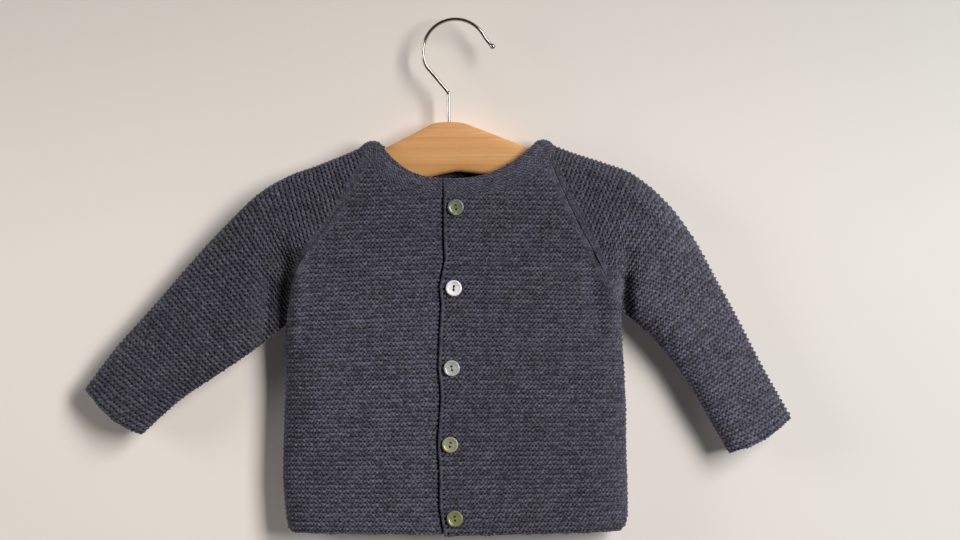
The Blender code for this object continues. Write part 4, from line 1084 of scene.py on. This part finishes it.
def drilled(disc_mesh):
    """The disc with its two holes cut through."""
    disc = new_object("disc", disc_mesh)
    cutters = []
    for hole in (-1, 1):
        bm = bmesh.new()
        bmesh.ops.create_cone(bm, cap_ends=True, segments=20, depth=6 * MM, radius1=HOLE_RADIUS * MM,
                              radius2=HOLE_RADIUS * MM)
        bmesh.ops.translate(bm, verts=bm.verts, vec=(0.0, hole * HOLE_PITCH / 2 * MM, 0.0))
        cutters.append(new_object("drill", mesh_from("drill", bm)))
        cut = disc.modifiers.new("hole", "BOOLEAN")
        cut.operation = "DIFFERENCE"
        cut.object = cutters[-1]
    graph = bpy.context.evaluated_depsgraph_get()
    mesh = bpy.data.meshes.new_from_object(disc.evaluated_get(graph))
    for spare in [disc] + cutters:
        bpy.data.objects.remove(spare)
    return mesh


def yarn_material(name, dark, pale):
    material, tree, shader = new_material(name, {"Roughness": 0.9, "Specular IOR Level": 0.2})
    place = tree.nodes.new("ShaderNodeTexCoord").outputs["Object"]
    twist = noise(tree, place, (3000, 3000, 1500), 2.0, 0.6)
    tree.links.new(mixed(tree, ranged(tree, twist, 0.35, 0.65), dark, pale), shader.inputs["Base Color"])
    return material


def new_curve(name, radius, resolution):
    """Empty curve that is drawn as a round bar."""
    curve = bpy.data.curves.new(name, "CURVE")
    curve.dimensions = "3D"
    curve.bevel_depth = radius * MM
    curve.bevel_resolution = resolution
    curve.use_fill_caps = True
    return curve


def add_strand(place, stops, thickness, material_index):
    """One bent length of the sewing yarn through these stops, which the matrix sets on its button."""
    spline = yarn.splines.new("BEZIER")
    spline.material_index = material_index
    spline.bezier_points.add(len(stops) - 1)
    for point, stop in zip(spline.bezier_points, stops):
        point.co = place @ (Vector(stop) * MM)
        point.radius = thickness
        point.handle_left_type = point.handle_right_type = "AUTO"
    spline.resolution_u = 6


button_mesh = drilled(turned_disc())
yarn = new_curve("button_yarn", YARN_RADIUS, 3)
yarn.materials.append(yarn_material("sewing_yarn", *SEWING_YARN))
yarn.materials.append(yarn_material("dark_yarn_and_hole_shade", *DARK_YARN_AND_HOLE_SHADE))
for number, ((x, z, turn), colours) in enumerate(zip(BUTTON_CENTRES, BUTTON_SHELLS), start=1):
    centre = (x, -body_depth(FRONT, z) - BUTTON_GAP, z)
    turned = Euler((math.pi / 2, math.radians(turn), 0.0)).to_matrix().to_4x4()
    place = Matrix.Translation(Vector(centre) * MM) @ turned
    mesh = button_mesh.copy()
    mesh.transform(place)
    button = new_piece("shell_button_%d" % number, mesh, shell_material(number, centre, colours))
    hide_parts("button_%d" % number)
    thick = number == THICK_YARN_BUTTON
    add_strand(place, CROSSING, THICK_YARN if thick else 1.0, 1 if thick else 0)
    # a near-black plug in each hole: painted shade
    for hole in (-1, 1):
        add_strand(place, [(0.0, hole * HOLE_PITCH / 2, height) for height in HOLE_HEIGHTS], HOLE_YARN, 1)
button_yarn = new_object("button_yarn", yarn)
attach(button_yarn, "root")


# ---------------------------------------------------------------- hanger
# A flat bar shaped from one piece of beech, sanded round and varnished clear, with the hook's foot set into
# its crown. The hook is chromed steel wire, bent round a former, with a small ball at its end.

BAR_ROWS = [             # x, z_top, z_low, half_thickness
    (-127.6, -120.4, -127.4, 2.2), (-126.4, -118.4, -129.4, 4.2), (-123.0, -116.4, -130.4, 5.6),
    (-110.0, -110.3, -127.6, 6.0), (-85.0, -101.6, -122.4, 6.0), (-64.0, -94.6, -119.0, 6.0),
    (-49.3, -89.1, -116.6, 6.0), (-32.0, -80.4, -113.0, 6.0), (-19.6, -73.9, -110.2, 6.0),
    (-14.6, -71.8, -109.0, 6.0), (-9.0, -71.0, -107.6, 6.0), (0.4, -71.0, -105.9, 6.0),
    (6.6, -71.9, -106.2, 6.0), (12.6, -74.1, -106.9, 6.0), (24.2, -78.5, -108.7, 6.0),
    (38.0, -83.9, -112.0, 6.0), (51.2, -89.1, -114.6, 6.0),
    (78.0, -97.0, -117.4, 6.0), (98.0, -102.9, -120.0, 6.0), (117.0, -109.9, -123.8, 5.6),
    (120.6, -112.1, -123.1, 4.2), (121.8, -114.2, -121.2, 2.2),
]
BAR_SIDES = 40
BAR_SQUARENESS = 3.4
WIRE_RADIUS, HOOK_RADIUS = 1.15, 22.75
HOOK_START, HOOK_END = 27.0, 209.0
STEM_X, STEM_FOOT_Z = -4.8, -85.0
BEND_ROUTE = [(-4.8, -52.6), (-5.1, -50.8), (-6.2, -48.8)]
LIP_ROUTE = [(21.9, -13.6), (24.2, -16.4)]
BALL_CENTRE, BALL_RADIUS, BALL_END = (26.0, -17.9), 1.9, 88


def wood_material():
    """Beech under a clear varnish: soft bands, fine pale grain lines that sway, and short dark flecks."""
    material, tree, shader = new_material("varnished_beech", {
        "Roughness": 0.42, "Specular IOR Level": 0.28, "Coat Weight": 0.06, "Coat Roughness": 0.22})
    place = tree.nodes.new("ShaderNodeTexCoord").outputs["Object"]
    sway = tree.nodes.new("ShaderNodeCombineXYZ")
    tree.links.new(noise(tree, place, (9, 9, 22), 2.0, 0.5), sway.inputs["Z"])
    swayed = tree.nodes.new("ShaderNodeVectorMath")
    swayed.operation = "MULTIPLY_ADD"
    tree.links.new(sway.outputs[0], swayed.inputs[0])
    swayed.inputs[1].default_value = (0, 0, 0.006)
    tree.links.new(place, swayed.inputs[2])
    bands, lines, flecks = (noise(tree, swayed.outputs[0], scale, detail, roughness)
                            for scale, detail, roughness in (((2.5, 60, 190), 3.0, 0.6),
                                                             ((7, 260, 1300), 3.0, 0.6),
                                                             ((160, 900, 1600), 1.0, 0.5)))
    colour = mixed(tree, ranged(tree, bands, 0.34, 0.66), (0.63, 0.312, 0.114, 1), (0.69, 0.36, 0.142, 1))
    colour = mixed(tree, ranged(tree, lines, 0.5, 0.72, 0.0, 0.8), colour, (0.79, 0.48, 0.235, 1))
    colour = mixed(tree, ranged(tree, flecks, 0.62, 0.75, 0.0, 0.25), colour, (0.45, 0.19, 0.055, 1))
    tree.links.new(colour, shader.inputs["Base Color"])
    add_bump(tree, shader, lines, 0.15, 0.1)
    return material


def make_bar():
    t = np.linspace(0, len(BAR_ROWS) - 1, 211)
    x, z_top, z_low, half = (smooth([row[k] for row in BAR_ROWS], t)[:, None] for k in range(4))
    angle = np.linspace(0, 2 * np.pi, BAR_SIDES + 1)
    side, rise = (np.sign(wave) * np.abs(wave) ** (2 / BAR_SQUARENESS)
                  for wave in (np.cos(angle), np.sin(angle)))
    z = (z_top + z_low) / 2 + (z_top - z_low) / 2 * rise
    rings = np.stack(np.broadcast_arrays(x, half * side, z), axis=-1)
    bm = bmesh.new()
    bmesh.ops.create_grid(bm, x_segments=BAR_SIDES, y_segments=len(t) - 1, size=1.0)
    for vert in bm.verts:
        column = round((vert.co.x + 1) / 2 * BAR_SIDES)
        row = round((vert.co.y + 1) / 2 * (len(t) - 1))
        vert.co = Vector(rings[row, column]) * MM
    bmesh.ops.remove_doubles(bm, verts=bm.verts, dist=0.00001)
    bmesh.ops.holes_fill(bm, edges=[edge for edge in bm.edges if edge.is_boundary])
    bmesh.ops.recalc_face_normals(bm, faces=bm.faces)
    return new_piece("beech_bar", mesh_from("beech_bar", bm), wood_material())


bar = make_bar()
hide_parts("hanger_bar")


def chrome_material():
    material, tree, shader = new_material("chromed_wire", {
        "Metallic": 1.0, "Specular Tint": (0.10, 0.085, 0.07, 1)})
    place = tree.nodes.new("ShaderNodeTexCoord").outputs["Object"]
    smear = noise(tree, place, (160, 160, 90), 3.0, 0.6)
    colour = mixed(tree, smear, (0.38, 0.34, 0.30, 1), (0.55, 0.52, 0.48, 1))
    tree.links.new(colour, shader.inputs["Base Color"])
    tree.links.new(ranged(tree, smear, 0.3, 0.7, 0.16, 0.24), shader.inputs["Roughness"])
    return material


def make_hook():
    """The wire from its foot in the bar, round the hook and over the ball at its end."""
    centre_z = WIRE_RADIUS - HOOK_RADIUS
    angle = np.radians(np.linspace(HOOK_END, HOOK_START, 90))
    arc = [(HOOK_RADIUS * math.cos(a), centre_z + HOOK_RADIUS * math.sin(a)) for a in angle]
    coarse = np.array([(STEM_X, STEM_FOOT_Z)] + BEND_ROUTE + arc[:1])
    bend = [smooth(coarse[:, k], np.linspace(1, 4, 19)[:-1]) for k in (0, 1)]
    route = [(STEM_X, STEM_FOOT_Z), *zip(*bend), *arc, *LIP_ROUTE]
    stations = [(x, z, WIRE_RADIUS) for x, z in route]
    heading = np.array(BALL_CENTRE) - np.array(LIP_ROUTE[-1])
    heading /= np.linalg.norm(heading)
    for turn in np.linspace(-math.acos(WIRE_RADIUS / BALL_RADIUS), math.radians(BALL_END), 16):
        x, z = np.array(BALL_CENTRE) + heading * BALL_RADIUS * math.sin(turn)
        stations.append((x, z, BALL_RADIUS * math.cos(turn)))
    curve = new_curve("wire_hook", WIRE_RADIUS, 6)
    spline = curve.splines.new("POLY")
    spline.points.add(len(stations) - 1)
    for point, (x, z, radius) in zip(spline.points, stations):
        point.co = (x * MM, 0.0, z * MM, 1.0)
        point.radius = radius / WIRE_RADIUS
    curve.materials.append(chrome_material())
    hook = new_object("wire_hook", curve)
    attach(hook, "root")
    return hook


hook = make_hook()
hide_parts("hanger_hook")


# ---------------------------------------------------------------- room
# The garment hangs close to a pale wall, high over a pale floor. A soft lamp stands to the upper right
# in front, with a weak fill on the left, and two soft lamps behind the wall light the back. From behind,
# the wall is clear, and what lies past it and the floor is pale.

WALL_Y, FLOOR_Z = 14.0, -2200.0
WALL_SHADE_RUN, WALL_TINT_RUN = (-0.12, 0.2), (-0.05, 0.4)    # where the painted light changes, in metres
WALL_SLOPE = 0.06        # how much the painted shade's change leans to the right
WORLD_COLOUR = (0.97, 0.97, 1.0, 1)
WORLD_SEEN, WORLD_LIGHT = 0.6, 0.028     # strength that the camera sees on top of the light it gives
LAMPS = {                # place, aim and size in metres, power in watts and colour
    "key_lamp": ((2.3, -2.2, 0.9), (0.0, 0.0, -0.2), (1.0, 2.6), 137.0, (1.0, 0.98, 0.95)),
    "fill_lamp": ((-2.0, -0.6, 0.25), (0.0, 0.0, -0.25), (0.6, 1.2), 17.0, (1.0, 0.98, 0.96)),
    "rear_lamp_right": ((0.5, 2.2, 0.5), (0.0, 0.0, -0.2), (1.0, 1.0), 15.0, (1.0, 1.0, 1.0)),
    "rear_lamp_left": ((-0.5, 2.2, 0.3), (0.0, 0.0, -0.2), (1.0, 1.0), 11.0, (1.0, 1.0, 1.0)),
}


def stage_plane(name, size, location, rotation, material):
    bm = bmesh.new()
    bmesh.ops.create_grid(bm, x_segments=1, y_segments=1, size=0.5)
    bmesh.ops.scale(bm, verts=bm.verts, vec=(size[0] * MM, size[1] * MM, 1.0))
    bmesh.ops.rotate(bm, verts=bm.verts, matrix=Euler(rotation).to_matrix())
    bmesh.ops.translate(bm, verts=bm.verts, vec=Vector(location) * MM)
    mesh = mesh_from(name, bm)
    mesh.materials.append(material)
    plane = new_object(name, mesh)
    return plane


def stage_material(name, tints, shades):
    """Matt surface whose colour carries painted light: lighter lower down, and a changed tint to the right.
    With equal shades and tints it is even.
    """
    material, tree, shader = new_material(name, {"Roughness": 0.9, "Specular IOR Level": 0.1})
    place = tree.nodes.new("ShaderNodeTexCoord").outputs["Object"]
    parts = tree.nodes.new("ShaderNodeSeparateXYZ")
    tree.links.new(place, parts.inputs[0])
    down = maths(tree, "MULTIPLY", parts.outputs["Z"], -1.0)
    run = maths(tree, "MULTIPLY_ADD", parts.outputs["X"], WALL_SLOPE, down)
    shade = grey(tree, ranged(tree, run, *WALL_SHADE_RUN, *shades))
    tint = mixed(tree, ranged(tree, parts.outputs["X"], *WALL_TINT_RUN), *tints)
    tree.links.new(mixed(tree, 1.0, tint, shade, "MULTIPLY"), shader.inputs["Base Color"])
    return material


def clear_from_behind(material):
    tree = material.node_tree
    choice = tree.nodes.new("ShaderNodeMixShader")
    ends = (tree.nodes.new("ShaderNodeNewGeometry").outputs["Backfacing"],
            tree.nodes["Principled BSDF"].outputs[0],
            tree.nodes.new("ShaderNodeBsdfTransparent").outputs[0])
    for output, socket in zip(ends, choice.inputs):
        tree.links.new(output, socket)
    tree.links.new(choice.outputs[0], tree.nodes["Material Output"].inputs["Surface"])


def lamp(name, place, aim, size, power, colour):
    data = bpy.data.lights.new(name, "AREA")
    data.shape = "RECTANGLE"
    data.size, data.size_y = size
    data.energy = power
    data.color = colour
    light = new_object(name, data)
    light.location = place
    light.rotation_euler = (Vector(aim) - Vector(place)).to_track_quat("-Z", "Y").to_euler()


# The wall's colour carries painted light: darker at the top, and darker and less warm to the right.
wall_painted_light = stage_material("wall_painted_light", ((1, 0.93, 0.87, 1), (0.9, 0.882, 0.855, 1)), (0.655, 0.92))
clear_from_behind(wall_painted_light)
backdrop = stage_plane("backdrop", (6000, 6200), (0, WALL_Y, 900), (math.pi / 2, 0, 0), wall_painted_light)
backdrop.visible_shadow = False
floor_paint = stage_material("floor_paint", ((1, 0.96, 0.92, 1), (1, 0.96, 0.92, 1)), (0.50, 0.50))
stage_plane("floor", (6000, 3000), (0, 0, FLOOR_Z), (0, 0, 0), floor_paint)
for name, values in LAMPS.items():
    lamp(name, *values)
world = bpy.data.worlds.new("room")
world.use_nodes = True
background = world.node_tree.nodes["Background"]
background.inputs["Color"].default_value = WORLD_COLOUR
seen = world.node_tree.nodes.new("ShaderNodeLightPath").outputs["Is Camera Ray"]
strength = maths(world.node_tree, "MULTIPLY_ADD", seen, WORLD_SEEN, WORLD_LIGHT)
world.node_tree.links.new(strength, background.inputs["Strength"])
bpy.context.scene.world = world
